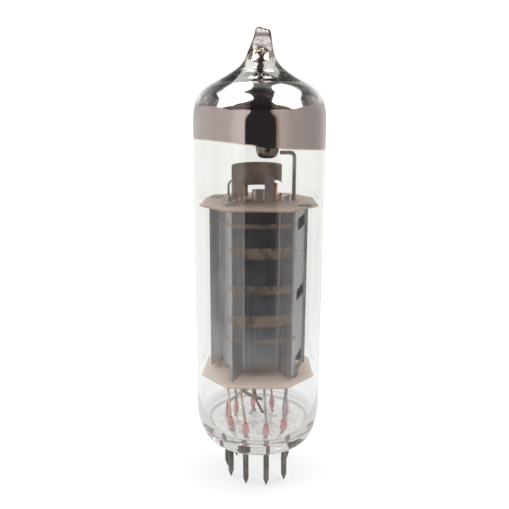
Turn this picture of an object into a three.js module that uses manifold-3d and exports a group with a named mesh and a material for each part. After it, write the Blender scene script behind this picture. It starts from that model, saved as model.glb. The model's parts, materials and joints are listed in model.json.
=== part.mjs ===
// Miniature nine-pin power valve (vacuum tube), an all-glass output pentode.
//
// Frame: origin at the centre of the pin circle on the glass underside, which
// is the seating plane; +Z up the bulb towards the sealed-off tip; +X through
// the wide gap in the pin circle, between pins 9 and 1. Units are millimetres.
//
// Every piece is a separate body. The micas and the electrode cage are each
// turned about Z by their own small angle; all else stands in the tube frame.

import * as THREE from 'three';
import { mergeVertices } from 'three/addons/utils/BufferGeometryUtils.js';
import Module from 'manifold-3d';

const wasm = await Module();
wasm.setup();

const rad = THREE.MathUtils.degToRad;

// ---------------------------------------------------------- shared dimensions
const BULB_R = 11.0;            // outside radius of the straight part
const BULB_TOP = 71.4;          // tip above the seating plane
const BULB_SEGMENTS = 32;
const STEM_R = 7.9;             // pressed glass button
const STEM_FLOOR = 2.6;         // inner face of the button
const NIPPLE_TOP = 4.75;        // glass drawn up round each seal

const PIN_COUNT = 9;
const PIN_PITCH = 36;           // degrees, ten places with one left out
const PIN_CIRCLE_R = 5.944;
const PIN_R = 0.5;
const PIN_BELOW = 7.1;          // pin length under the seating plane
const PIN_TAPER = 1.15;
const PIN_IN_GLASS = 1.05;
const SEAL_R = 0.36;
const SEAL_TOP = 5.0;
const PIN_CLEARANCE = 0.05;     // radial gap between metal and glass

const MICA_T = 0.3;
const LOWER_MICA_Z = 13.25;     // underside of the lower spacer
const UPPER_MICA_Z = 43.3;      // underside of the upper spacer
const UPPER_MICA_TOP = UPPER_MICA_Z + MICA_T;

// Turns about Z, in degrees.
const MICA_TURN = 5.0;
const CAGE_TURN = 11.4;         // anode, grids, cathode and heater
const TOP_TURN = 6.2;           // radiator, mica hook and getter

const ANODE_T = 0.2;
const ANODE_BOTTOM = 13.95;
const ANODE_TOP = 43.0;

const CATHODE_X = 1.2;          // half widths of the flat sleeve
const CATHODE_Y = 0.66;
const CATHODE_WALL = 0.14;

// Side rods stand at x = -rodX and +rodX; the winding is an oval helix.
const GRIDS = {
  control: {
    rodX: 2.72, rodR: 0.4, rodBottom: 12.0, rodTop: 46.6, metal: 'copper',
    halfX: 3.22, halfY: 1.1, wireR: 0.06, turns: 18, bottom: 15.2, top: 41.6,
  },
  screen: {
    rodX: 3.75, rodR: 0.4, rodBottom: 12.2, rodTop: 44.9, metal: 'copper',
    halfX: 4.4, halfY: 1.95, wireR: 0.07, turns: 14, bottom: 15.2, top: 41.6,
  },
  suppressor: {
    rodX: 5.08, rodR: 0.4, rodBottom: 12.4, rodTop: 44.5, metal: 'nickel',
    halfX: 5.75, halfY: 3.0, wireR: 0.08, turns: 7, bottom: 15.6, top: 41.2,
  },
};

// ------------------------------------------------------------------ materials
const LOOKS = {
  glass: { color: 0xf2f6f4, roughness: 0.02, metalness: 0, transparent: true, opacity: 0.25 },
  pin: { color: 0x5f564f, roughness: 0.45, metalness: 0.8 },
  seal: { color: 0xa8323f, roughness: 0.5, metalness: 0.2 },
  lead: { color: 0x8e8c88, roughness: 0.35, metalness: 0.9 },
  mica: { color: 0xc8af9f, roughness: 0.4, metalness: 0 },
  anode: { color: 0x6c6d70, roughness: 0.5, metalness: 0.5 },
  copper: { color: 0xb0704a, roughness: 0.3, metalness: 0.95 },
  nickel: { color: 0xa9a6a1, roughness: 0.3, metalness: 0.95 },
  gridwire: { color: 0x9a9792, roughness: 0.3, metalness: 0.9 },
  cathode: { color: 0xd9cec8, roughness: 0.5, metalness: 0.4 },
  heater: { color: 0xe9e6e0, roughness: 0.8, metalness: 0 },
  radiator: { color: 0x6f6864, roughness: 0.5, metalness: 0.6 },
  getter: { color: 0xb9b6b2, roughness: 0.12, metalness: 1 },
};

// --------------------------------------------------------------- mesh helpers
// Merge a geometry down to shared positions, drop collapsed triangles and turn
// every face outward.
function tidy(source) {
  const bare = source.clone();
  for (const key of Object.keys(bare.attributes)) {
    if (key !== 'position') bare.deleteAttribute(key);
  }
  const merged = mergeVertices(bare, 1e-4);
  const positions = merged.attributes.position;
  const corners = merged.index.array;
  const corner = (i) => new THREE.Vector3().fromBufferAttribute(positions, i);
  const kept = [];
  let volume = 0;
  for (let i = 0; i < corners.length; i += 3) {
    const [first, second, third] = corners.slice(i, i + 3);
    if (first === second || second === third || third === first) continue;
    volume += corner(first).dot(corner(second).cross(corner(third))) / 6;
    kept.push(first, second, third);
  }
  if (volume < 0) {
    for (let i = 0; i < kept.length; i += 3) {
      [kept[i + 1], kept[i + 2]] = [kept[i + 2], kept[i + 1]];
    }
  }
  merged.setIndex(kept);
  merged.computeVertexNormals();
  return merged;
}

// Geometry to manifold, for adding and subtracting.
function solid(geometry) {
  const tidied = tidy(geometry);
  return new wasm.Manifold(new wasm.Mesh({
    numProp: 3,
    vertProperties: new Float32Array(tidied.attributes.position.array),
    triVerts: new Uint32Array(tidied.index.array),
  }));
}

function geometryOf(manifold) {
  const mesh = manifold.getMesh();
  const geometry = new THREE.BufferGeometry();
  const positions = new Float32Array(mesh.vertProperties);
  geometry.setAttribute('position', new THREE.BufferAttribute(positions, 3));
  geometry.setIndex(new THREE.BufferAttribute(new Uint32Array(mesh.triVerts), 1));
  return geometry;
}

function addPiece(name, geometry, look, parent) {
  const mesh = new THREE.Mesh(tidy(geometry), new THREE.MeshStandardMaterial(LOOKS[look]));
  mesh.name = name;
  parent.add(mesh);
}

// -------------------------------------------------------------- plan outlines
const vectors = (points) => points.map(([x, y]) => new THREE.Vector2(x, y));
const polygon = (points) => new THREE.Shape(vectors(points));
const holeOf = (points) => new THREE.Path(vectors(points));

function turn([x, y], degrees) {
  const cos = Math.cos(rad(degrees));
  const sin = Math.sin(rad(degrees));
  return [x * cos - y * sin, x * sin + y * cos];
}

function circlePoints(radius, sides, [x, y] = [0, 0]) {
  return Array.from({ length: sides }, (_, i) => {
    const angle = (2 * Math.PI * i) / sides;
    return [x + radius * Math.cos(angle), y + radius * Math.sin(angle)];
  });
}

// A superellipse, a little squarer than an ellipse.
function ovalPoints(halfX, halfY, sides) {
  const squared = (value) => Math.sign(value) * Math.abs(value) ** 0.7;
  return Array.from({ length: sides }, (_, i) => {
    const angle = (2 * Math.PI * (i + 0.5)) / sides;
    return [halfX * squared(Math.cos(angle)), halfY * squared(Math.sin(angle))];
  });
}

// Outline of a bent sheet that follows a polyline in plan, with mitred bends.
function sheetOutline(points, thickness) {
  const line = vectors(points);
  const heads = line.slice(1).map((point, i) => point.clone().sub(line[i]).normalize());
  const left = [];
  const right = [];
  line.forEach(({ x, y }, i) => {
    const before = heads[Math.max(i - 1, 0)];
    const after = heads[Math.min(i, heads.length - 1)];
    const normal = new THREE.Vector2(-before.y, before.x);
    const mitre = new THREE.Vector2(-after.y, after.x).add(normal).normalize();
    const reach = thickness / 2 / mitre.dot(normal);
    left.push([x + mitre.x * reach, y + mitre.y * reach]);
    right.unshift([x - mitre.x * reach, y - mitre.y * reach]);
  });
  return polygon([...left, ...right]);
}

// --------------------------------------------------------------- basic solids
// Revolve an [r, z] profile about Z.
function turned(profile, segments) {
  return new THREE.LatheGeometry(vectors(profile), segments).rotateX(Math.PI / 2);
}

function rod(x, y, bottom, top, radius, sides = 8) {
  return new THREE.CylinderGeometry(radius, radius, top - bottom, sides)
    .rotateX(Math.PI / 2)
    .translate(x, y, (bottom + top) / 2);
}

// Upright block centred on a plan point, its length lying along the angle.
function slab([x, y], angle, halfLength, halfWidth, bottom, top) {
  return new THREE.BoxGeometry(2 * halfLength, 2 * halfWidth, top - bottom)
    .rotateZ(angle)
    .translate(x, y, (bottom + top) / 2);
}

// Block square to the axes, from [min, max] in x, y and z.
function block([left, right], [front, back], [bottom, top]) {
  const centre = [(left + right) / 2, (front + back) / 2];
  return slab(centre, 0, (right - left) / 2, (back - front) / 2, bottom, top);
}

function plate(shape, bottom, top) {
  return new THREE.ExtrudeGeometry(shape, { depth: top - bottom, bevelEnabled: false })
    .translate(0, 0, bottom);
}

// --------------------------------------------------------------- swept solids
// A curve that passes through each given point and is sampled exactly there.
class PathThrough extends THREE.Curve {
  constructor(points) {
    super();
    this.points = points.map((point) => (point.isVector3 ? point : new THREE.Vector3(...point)));
  }

  getPointAt(fraction, target = new THREE.Vector3()) {
    const last = this.points.length - 1;
    const place = Math.min(Math.max(fraction, 0), 1) * last;
    // The nudge keeps a place just short of a point from falling one span back.
    const i = Math.min(Math.floor(place + 1e-9), last - 1);
    return target.lerpVectors(this.points[i], this.points[i + 1], place - i);
  }

  getTangentAt(fraction, target = new THREE.Vector3()) {
    const last = this.points.length - 1;
    const i = Math.round(fraction * last);
    const heading = (start) => this.points[start + 1].clone().sub(this.points[start]).normalize();
    const before = heading(Math.max(i, 1) - 1);
    const after = heading(Math.min(i, last - 1));
    return target.copy(before.add(after).normalize());
  }
}

function swept(points, shape) {
  return new THREE.ExtrudeGeometry(shape, {
    extrudePath: new PathThrough(points),
    steps: points.length - 1,
    bevelEnabled: false,
  });
}

function wire(points, radius, sides = 6) {
  return swept(points, polygon(circlePoints(radius, sides)));
}

function ribbon(points, width, thickness) {
  const x = thickness / 2;
  const y = width / 2;
  return swept(points, polygon([[-x, -y], [x, -y], [x, y], [-x, y]]));
}

// Round off the inner corners of a polyline with short chords.
function eased(points, radius, chords = 3) {
  const line = points.map((point) => new THREE.Vector3(...point));
  const out = [line[0]];
  for (let i = 1; i < line.length - 1; i++) {
    const into = line[i - 1].clone().sub(line[i]);
    const away = line[i + 1].clone().sub(line[i]);
    const reach = Math.min(radius, into.length() / 2.05, away.length() / 2.05);
    const start = line[i].clone().addScaledVector(into.normalize(), reach);
    const end = line[i].clone().addScaledVector(away.normalize(), reach);
    for (let k = 0; k <= chords; k++) {
      const t = k / chords;
      out.push(start.clone().multiplyScalar((1 - t) ** 2)
        .addScaledVector(line[i], 2 * t * (1 - t))
        .addScaledVector(end, t * t));
    }
  }
  out.push(line[line.length - 1]);
  return out;
}

// ----------------------------------------------------------------- scene tree
const tube = new THREE.Group();
const micaGroup = new THREE.Group();
micaGroup.rotation.z = rad(MICA_TURN);
const cage = new THREE.Group();
cage.rotation.z = rad(CAGE_TURN);
tube.add(micaGroup, cage);

// A point given in the cage frame, in the tube frame.
const inCage = (x, y, z) => [...turn([x, y], CAGE_TURN), z];

// ----------------------------------------------------------------- glass bulb
// Blown tube glass, open at the bottom where the stem sits. Columns: r, z;
// down the outside from the tip, then up the inside.
const BULB_PROFILE = [
  [0, BULB_TOP], [0.9, 71.36], [1.14, 71.0], [1.3, 70.3], [1.6, 69.1], [2.02, 67.8],
  [2.55, 66.55], [3.5, 65.42], [4.2, 64.88], [5.85, 63.85], [7.6, 62.95], [9.15, 61.92],
  [10.16, 60.7], [10.7, 59.35], [10.93, 57.8], [BULB_R, 55.8], [BULB_R, 5.3], [10.76, 4.14],
  [10.49, 3.1], [10.06, 2.05], [9.53, 1.1], [8.8, 0.5], [STEM_R + 0.03, 0.22],
  [STEM_R + 0.03, 2.45], [8.7, 2.8], [9.35, 3.4], [9.8, 4.3], [10.12, 5.5], [10.33, 6.9],
  [10.42, 8.6], [10.42, 55.0], [10.35, 56.9], [10.1, 58.6], [9.62, 59.95], [8.8, 61.05],
  [7.45, 62.05], [5.9, 62.8], [4.3, 63.4], [3.15, 63.9], [2.5, 64.7], [1.95, 66.0],
  [1.2, 67.4], [0.3, 68.4], [0, 68.5],
];
addPiece('glass_bulb', turned(BULB_PROFILE, BULB_SEGMENTS), 'glass', tube);

// ----------------------------------------------------------------- glass stem
// A pressed button with a short glass cone round each seal. Columns: r, z.
const BUTTON_PROFILE = [
  [0, 0], [7.3, 0], [STEM_R, 0.2], [STEM_R, 2.4], [7.5, STEM_FLOOR], [0, STEM_FLOOR],
];
const CONE_PROFILE = [
  [0, 2.0], [0.95, 2.0], [0.86, STEM_FLOOR + 0.15], [0.62, 3.3], [0.54, NIPPLE_TOP],
  [0, NIPPLE_TOP],
];

const PINS = Array.from({ length: PIN_COUNT }, (_, i) => {
  const angle = rad(PIN_PITCH * (i + 1));
  return [PIN_CIRCLE_R * Math.cos(angle), PIN_CIRCLE_R * Math.sin(angle)];
});

function glassStem() {
  const pinBore = { top: PIN_IN_GLASS + 0.03, radius: PIN_R + PIN_CLEARANCE };
  const sealBore = { top: NIPPLE_TOP + 1, radius: SEAL_R + PIN_CLEARANCE };
  let stem = solid(turned(BUTTON_PROFILE, BULB_SEGMENTS));
  for (const [x, y] of PINS) {
    stem = stem.add(solid(turned(CONE_PROFILE, 10).translate(x, y, 0)));
  }
  for (const [x, y] of PINS) {
    stem = stem.subtract(solid(rod(x, y, -1, pinBore.top, pinBore.radius, 10)));
    stem = stem.subtract(solid(rod(x, y, 0.5, sealBore.top, sealBore.radius, 10)));
  }
  return geometryOf(stem);
}
addPiece('glass_stem', glassStem(), 'glass', tube);

// ------------------------------------------------------------- pins and seals
// Columns: r, z.
const PIN_PROFILE = [
  [0, -PIN_BELOW], [0.14, -PIN_BELOW + 0.04], [PIN_R, -PIN_BELOW + PIN_TAPER],
  [PIN_R, PIN_IN_GLASS], [0, PIN_IN_GLASS],
];
const SEAL_BOTTOM = PIN_IN_GLASS + 0.06;
const SEAL_PROFILE = [
  [0, SEAL_BOTTOM], [SEAL_R, SEAL_BOTTOM], [SEAL_R, SEAL_TOP - 0.1], [0.27, SEAL_TOP],
  [0, SEAL_TOP],
];
PINS.forEach(([x, y], i) => {
  addPiece(`base_pin_${i + 1}`, turned(PIN_PROFILE, 10).translate(x, y, 0), 'pin', tube);
  addPiece(`seal_wire_${i + 1}`, turned(SEAL_PROFILE, 8).translate(x, y, 0), 'seal', tube);
});

// ---------------------------------------------------------------- inner leads
// One for each pin in turn. Each starts just above its seal, goes straight up
// to z = rise if one is given, then follows the route.
const LEAD_BOTTOM = SEAL_TOP + 0.05;
const LEAD_BEND_R = 0.7;
const [heaterLeftX, heaterLeftY] = inCage(-0.62, 0, 0);
const [heaterRightX, heaterRightY] = inCage(0.62, 0, 0);
const INNER_LEADS = [
  { radius: 0.22, rise: 7.5, route: [[5.15, 3.3, 12.95]] },
  // Control grid.
  {
    radius: 0.2,
    rise: 8.6,
    route: [inCage(GRIDS.control.rodX, 0.75, 10.6), inCage(GRIDS.control.rodX, 0.62, 12.9)],
  },
  // Cathode and suppressor grid.
  { radius: 0.2, rise: 8.4, route: [[-1.15, 3.4, 10.4], inCage(-0.35, 1.2, 12.7)] },
  // Heater, pins 4 and 5.
  {
    radius: 0.24,
    rise: 7.6,
    route: [[-2.4, 1.9, 9.4], [heaterLeftX - 0.35, heaterLeftY + 0.35, 10.9]],
  },
  {
    radius: 0.24,
    rise: 5.7,
    route: [
      [-4.7, -0.6, 7.1], [-3.3, -1.2, 8.5],
      [heaterRightX - 0.55, heaterRightY - 0.95, 10.4],
      [heaterRightX - 0.1, heaterRightY - 0.45, 11.0],
    ],
  },
  // Support only.
  { radius: 0.24, route: [[-5.05, -3.5, 12.95]] },
  // Anode.
  { radius: 0.24, route: [[-2.62, -5.35, 12.85]] },
  // Support only.
  { radius: 0.24, route: [[1.62, -5.55, 12.95]] },
  // Screen grid.
  { radius: 0.32, rise: 6.4, route: [[5.55, -3.3, 12.85]] },
];
INNER_LEADS.forEach(({ radius, rise, route }, i) => {
  const straight = rise === undefined ? [] : [[...PINS[i], rise]];
  const path = [[...PINS[i], LEAD_BOTTOM], ...straight, ...route];
  addPiece(`inner_lead_${i + 1}`, wire(eased(path, LEAD_BEND_R), radius), 'lead', tube);
});

// ------------------------------------------------- anode panels, for tabs too
// Side panels of the front anode half, from fin tip to flange, in the cage
// frame: +X side (right) and -X side (left).
const FIN_TIP_X = 5.02;
const FIN_TIP_Y = -7.59;
const PANEL_RIGHT = { start: [FIN_TIP_X, FIN_TIP_Y], end: [7.95, -0.35] };
const PANEL_LEFT = { start: [-FIN_TIP_X, FIN_TIP_Y], end: [-6.6, -0.35] };

function along({ start, end }, fraction) {
  return start.map((value, axis) => value + (end[axis] - value) * fraction);
}

function headingOf({ start, end }) {
  return Math.atan2(end[1] - start[1], end[0] - start[0]);
}

// Tabs through the spacers; flap is the folded length above the upper mica,
// and low marks a tab that goes through the lower mica as well.
const TAB_HALF = 1.25;
const TABS = [
  { centre: along(PANEL_RIGHT, 0.44), angle: headingOf(PANEL_RIGHT), flap: 1.9, low: true },
  { centre: along(PANEL_LEFT, 0.55), angle: headingOf(PANEL_LEFT), flap: 2.4, low: false },
];
const REAR_TABS = TABS.map(({ centre: [x, y], angle, low }) => (
  { centre: [-x, -y], angle: angle + Math.PI, low }));

// -------------------------------------------------------------- mica spacers
const MICA_OUTLINE = [   // x, y in the mica frame
  [4.95, 8.98], [-4.95, 8.98], [-9.56, 3.76], [-9.56, -3.76],
  [-4.95, -8.98], [4.95, -8.98], [9.56, -3.76], [9.56, 3.76],
];
const ROD_CLEARANCE = 0.07;
const CATHODE_CLEARANCE = 0.1;
const TAB_CLEARANCE = 0.08;

// Feet of the wires that pass through the upper mica, in the tube frame.
const GETTER_WIRE_FOOT = [5.79, 1.71];
const HOOK_FOOT = turn([-5.36, 3.02], TOP_TURN);
const WIRE_HOLES = [
  { foot: GETTER_WIRE_FOOT, radius: 0.42 },
  { foot: HOOK_FOOT, radius: 0.3 },
];

const cageToMica = (point) => turn(point, CAGE_TURN - MICA_TURN);

function tabHole({ centre: [x, y], angle }) {
  const long = TAB_HALF + TAB_CLEARANCE;
  const wide = ANODE_T / 2 + TAB_CLEARANCE;
  return [[-long, -wide], [long, -wide], [long, wide], [-long, wide]].map((corner) => {
    const [dx, dy] = turn(corner, THREE.MathUtils.radToDeg(angle));
    return cageToMica([x + dx, y + dy]);
  });
}

function micaPlate(bottom, isUpper) {
  const shape = polygon(MICA_OUTLINE);
  const cut = (points) => shape.holes.push(holeOf(points));
  for (const { rodX, rodR } of Object.values(GRIDS)) {
    for (const side of [-1, 1]) {
      cut(circlePoints(rodR + ROD_CLEARANCE, 8, cageToMica([side * rodX, 0])));
    }
  }
  const cathodeHole = ovalPoints(CATHODE_X + CATHODE_CLEARANCE, CATHODE_Y + CATHODE_CLEARANCE, 12);
  cut(cathodeHole.map(cageToMica));
  for (const tab of [...TABS, ...REAR_TABS]) {
    if (isUpper || tab.low) cut(tabHole(tab));
  }
  if (isUpper) {
    for (const { foot, radius } of WIRE_HOLES) {
      cut(circlePoints(radius, 8, turn(foot, -MICA_TURN)));
    }
  }
  return plate(shape, bottom, bottom + MICA_T);
}
addPiece('lower_mica', micaPlate(LOWER_MICA_Z, false), 'mica', micaGroup);
addPiece('upper_mica', micaPlate(UPPER_MICA_Z, true), 'mica', micaGroup);

// ---------------------------------------------------------------------- anode
// Two identical stampings, each with a flat centre panel between two pleated
// fins, a wide flange on one side and a narrow one on the other. The front
// half lies towards -Y; the rear half is the same one turned half way round.
const ANODE_LINE = [   // x, y of the sheet's middle, from wide to narrow flange
  [-8.35, -0.14], [-6.75, -0.14], [-6.57, -0.45], [-FIN_TIP_X, FIN_TIP_Y], [-3.04, -4.6],
  [3.04, -4.6], [FIN_TIP_X, FIN_TIP_Y], [7.88, -0.5], [8.1, -0.14], [8.45, -0.14],
];
const ANODE_WINDOWS = [[15.0, 17.3], [27.5, 29.4], [39.6, 41.6]];   // bottom, top
const FOLD_GAP = 0.06;          // between a mica face and a folded tab
const FOLD_T = 0.2;
const LOWER_FLAP = 0.9;
const TAB_ROOT = 0.6;           // overlap of a tab with the sheet

// The upright parts of a tab and the flaps folded flat towards +X.
function tabParts({ centre, angle, flap, low }) {
  const folded = (length, bottom, top) => {
    const flapCentre = [
      centre[0] + (Math.sin(angle) * length) / 2,
      centre[1] - (Math.cos(angle) * length) / 2,
    ];
    return slab(flapCentre, angle, TAB_HALF, length / 2, bottom, top);
  };
  const upright = (bottom, top) => slab(centre, angle, TAB_HALF, ANODE_T / 2, bottom, top);
  const upperFold = UPPER_MICA_TOP + FOLD_GAP;
  const lowerFold = LOWER_MICA_Z - FOLD_GAP;
  const parts = [
    upright(ANODE_TOP - TAB_ROOT, upperFold + 0.15),
    folded(flap, upperFold, upperFold + FOLD_T),
  ];
  if (low) {
    parts.push(upright(lowerFold - 0.15, ANODE_BOTTOM + TAB_ROOT));
    parts.push(folded(LOWER_FLAP, lowerFold - FOLD_T, lowerFold));
  }
  return parts;
}

function anodeHalf() {
  const below = ANODE_BOTTOM - 1;
  const rightAngle = headingOf(PANEL_RIGHT);
  const cuts = [
    // Windows across the right side panel.
    ...ANODE_WINDOWS.map(([bottom, top]) => (
      slab(along(PANEL_RIGHT, 0.6), rightAngle, 2.55, 0.5, bottom, top))),
    // The panel beside the wide flange stops short of the lower spacer.
    slab(along(PANEL_LEFT, 0.47), headingOf(PANEL_LEFT), 3.1, 0.5, below, 16.0),
    // The wide flange and the centre panel start a little above the fins.
    block([-9, -6.3], [-1, 1], [below, 14.3]),
    block([-2.9, 2.9], [-5, -4.2], [below, 14.4]),
  ];
  let half = solid(plate(sheetOutline(ANODE_LINE, ANODE_T), ANODE_BOTTOM, ANODE_TOP));
  for (const tool of cuts) half = half.subtract(solid(tool));
  for (const part of TABS.flatMap(tabParts)) half = half.add(solid(part));
  return geometryOf(half);
}
const anodeGeometry = anodeHalf();
addPiece('anode_front_half', anodeGeometry, 'anode', cage);
const rear = new THREE.Group();
rear.rotation.z = Math.PI;
cage.add(rear);
addPiece('anode_rear_half', anodeGeometry, 'anode', rear);

// ---------------------------------------------------------------------- grids
const POINTS_PER_TURN = 12;

function winding({ halfX, halfY, wireR, turns, bottom, top }) {
  const steps = turns * POINTS_PER_TURN;
  const points = [];
  for (let i = 0; i <= steps; i++) {
    const angle = (2 * Math.PI * (i + 0.5)) / POINTS_PER_TURN;
    const z = bottom + ((top - bottom) * i) / steps;
    points.push([halfX * Math.cos(angle), halfY * Math.sin(angle), z]);
  }
  return wire(points, wireR, 3);
}

for (const [name, grid] of Object.entries(GRIDS)) {
  for (const [side, x] of [['left', -grid.rodX], ['right', grid.rodX]]) {
    const sideRod = rod(x, 0, grid.rodBottom, grid.rodTop, grid.rodR);
    addPiece(`${name}_grid_rod_${side}`, sideRod, grid.metal, cage);
  }
  addPiece(`${name}_grid_winding`, winding(grid), 'gridwire', cage);
}

// --------------------------------------------------------- cathode and heater
function cathodeSleeve() {
  const shape = polygon(ovalPoints(CATHODE_X, CATHODE_Y, 12));
  shape.holes.push(holeOf(ovalPoints(CATHODE_X - CATHODE_WALL, CATHODE_Y - CATHODE_WALL, 12)));
  return plate(shape, 12.3, 45.5);
}
addPiece('cathode_sleeve', cathodeSleeve(), 'cathode', cage);

// Four upright legs in a row along X, folded like a letter M.
function heater() {
  const outer = 0.75;
  const inner = 0.25;
  const end = 11.2;
  const fold = 14.0;
  const top = 42.6;
  const path = [
    [-outer, 0, end], [-outer, 0, top], [-inner, 0, top], [-inner, 0, fold],
    [inner, 0, fold], [inner, 0, top], [outer, 0, top], [outer, 0, end],
  ];
  return wire(eased(path, 0.2, 2), 0.17);
}
addPiece('heater', heater(), 'heater', cage);

// --------------------------------------------------- straps below the lower mica
const STRAP_T = 0.12;
const STRAP_BEND_R = 0.5;
const ANODE_STRAP = [[-2.62, -4.9, 11.3], [-1.1, -4.85, 10.2], [1.2, -5.0, 9.5]];
const CATHODE_STRAP = [[-1.5, 5.2, 7.2], [-0.5, 0.2, 6.6], [1.15, -5.0, 6.9]];
const SUPPRESSOR_STRAP = [
  inCage(GRIDS.suppressor.rodX, -0.62, 12.7), inCage(3.0, -1.25, 12.7), inCage(0.6, -1.05, 12.7),
];
addPiece('anode_strap', ribbon(eased(ANODE_STRAP, STRAP_BEND_R), 0.6, STRAP_T), 'nickel', tube);
addPiece('cathode_strap', ribbon(eased(CATHODE_STRAP, STRAP_BEND_R), 0.7, STRAP_T), 'copper', tube);
addPiece('suppressor_strap', ribbon(SUPPRESSOR_STRAP, 0.6, STRAP_T), 'nickel', tube);

// ------------------------------------------------- radiator above the top mica
// A blackened sheet curled round the cathode end, open towards -Y, with its
// lower edge cut away in two steps towards +X.
const RADIATOR_LINE = [   // x, y before the turn
  [-4.48, -2.5], [-4.32, -0.3], [-3.6, 1.35], [-2.4, 2.4], [-0.9, 2.95],
  [0.75, 3.0], [2.3, 2.2], [3.4, 0.8], [3.68, -1.0],
];
const RADIATOR_T = 0.18;
const RADIATOR_BOTTOM = UPPER_MICA_TOP + 0.35;
const RADIATOR_TOP = 49.85;

function gridRadiator() {
  const line = RADIATOR_LINE.map((point) => turn(point, TOP_TURN));
  const sheet = plate(sheetOutline(line, RADIATOR_T), RADIATOR_BOTTOM, RADIATOR_TOP);
  return geometryOf(solid(sheet)
    .subtract(solid(block([-1.9, 6.0], [0.9, 5], [43, 45.9])))
    .subtract(solid(block([2.6, 6.0], [-3, 3], [43, 46.9]))));
}
addPiece('grid_radiator', gridRadiator(), 'radiator', tube);

// Flat strip standing in the open side.
const radiatorStrap = block([0.85, 2.3], [-2.6, -2.6 + RADIATOR_T], [RADIATOR_BOTTOM, 48.1]);
addPiece('radiator_strap', radiatorStrap.rotateZ(rad(TOP_TURN)), 'radiator', tube);

const HOOK_PATH = [
  [...HOOK_FOOT, 42.7], [...HOOK_FOOT, 46.2], [HOOK_FOOT[0] + 0.9, HOOK_FOOT[1] - 0.3, 46.9],
];
addPiece('mica_hook', wire(eased(HOOK_PATH, 0.7), 0.2), 'lead', tube);

// --------------------------------------------------------------------- getter
const [CUP_X, CUP_Y] = turn([1.33, 1.0], TOP_TURN);
const GETTER_ARM_Z = 52.05;
const GETTER_WIRE_PATH = [
  [...GETTER_WIRE_FOOT, 42.5], [...GETTER_WIRE_FOOT, GETTER_ARM_Z],
  [CUP_X + 2.15, CUP_Y + 0.05, GETTER_ARM_Z],
];
const getterWire = wire(eased(GETTER_WIRE_PATH, 0.9, 4), 0.33, 8);
addPiece('getter_support_wire', getterWire, 'lead', tube);

const CUP_PROFILE = [   // r, z; up the outside, then down the inside
  [0, 50.75], [1.15, 50.8], [1.75, 51.35], [1.95, 52.2], [1.98, 52.75],
  [1.86, 52.75], [1.82, 52.2], [1.62, 51.45], [1.08, 50.95], [0, 50.92],
];
addPiece('getter_cup', turned(CUP_PROFILE, 20).translate(CUP_X, CUP_Y, 0), 'getter', tube);

// The film coats the inside of the dome; its lower edge slants down towards +X.
const FILM_OUTER = [   // r, z, upwards
  [10.34, 51.0], [10.34, 55.0], [10.27, 56.87], [10.02, 58.55], [9.55, 59.88], [8.75, 60.95],
  [7.41, 61.95], [5.87, 62.7], [4.27, 63.3], [3.08, 63.8], [2.41, 64.65], [1.86, 65.95],
];
const FILM_SKIPPED = [3, 5, 7];   // outer points with no match on the inner face
const FILM_EDGE_Z = 53.1;         // height of the lower edge on the axis
const FILM_EDGE_SLOPE = 0.087;

function getterFilm() {
  const inner = FILM_OUTER
    .filter((_, i) => !FILM_SKIPPED.includes(i))
    .map(([r, z]) => [r - 0.16, z - 0.12])
    .reverse();
  const belowEdge = new THREE.BoxGeometry(40, 40, 20)
    .translate(0, 0, -10)
    .rotateY(Math.atan(FILM_EDGE_SLOPE))
    .rotateZ(rad(TOP_TURN))
    .translate(0, 0, FILM_EDGE_Z);
  const film = solid(turned([...FILM_OUTER, ...inner, FILM_OUTER[0]], BULB_SEGMENTS));
  return geometryOf(film.subtract(solid(belowEdge)));
}
addPiece('getter_film', getterFilm(), 'getter', tube);

export default tube;
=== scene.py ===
import json
import math
import random

import bmesh
import bpy
import numpy as np
from mathutils import Matrix, Vector

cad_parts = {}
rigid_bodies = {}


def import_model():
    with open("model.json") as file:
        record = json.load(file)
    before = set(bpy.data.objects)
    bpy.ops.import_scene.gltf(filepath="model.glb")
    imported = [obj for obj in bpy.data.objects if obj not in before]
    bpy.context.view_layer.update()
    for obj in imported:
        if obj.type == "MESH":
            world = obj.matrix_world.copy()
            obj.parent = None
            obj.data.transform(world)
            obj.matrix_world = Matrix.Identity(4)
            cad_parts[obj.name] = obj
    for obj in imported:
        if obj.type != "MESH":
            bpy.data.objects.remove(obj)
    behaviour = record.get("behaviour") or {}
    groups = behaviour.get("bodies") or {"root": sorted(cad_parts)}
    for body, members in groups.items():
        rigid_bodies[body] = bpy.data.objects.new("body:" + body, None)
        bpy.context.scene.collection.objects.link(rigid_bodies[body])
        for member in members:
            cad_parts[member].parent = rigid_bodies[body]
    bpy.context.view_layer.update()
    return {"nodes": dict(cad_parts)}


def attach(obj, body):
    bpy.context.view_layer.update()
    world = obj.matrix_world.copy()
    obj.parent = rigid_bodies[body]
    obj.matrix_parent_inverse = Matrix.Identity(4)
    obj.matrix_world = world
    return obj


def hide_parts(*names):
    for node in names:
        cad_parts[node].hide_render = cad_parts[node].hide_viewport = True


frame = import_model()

MM = 0.001
NODES = frame["nodes"]
SCENE = bpy.context.scene
rnd = random.Random(7)

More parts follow.
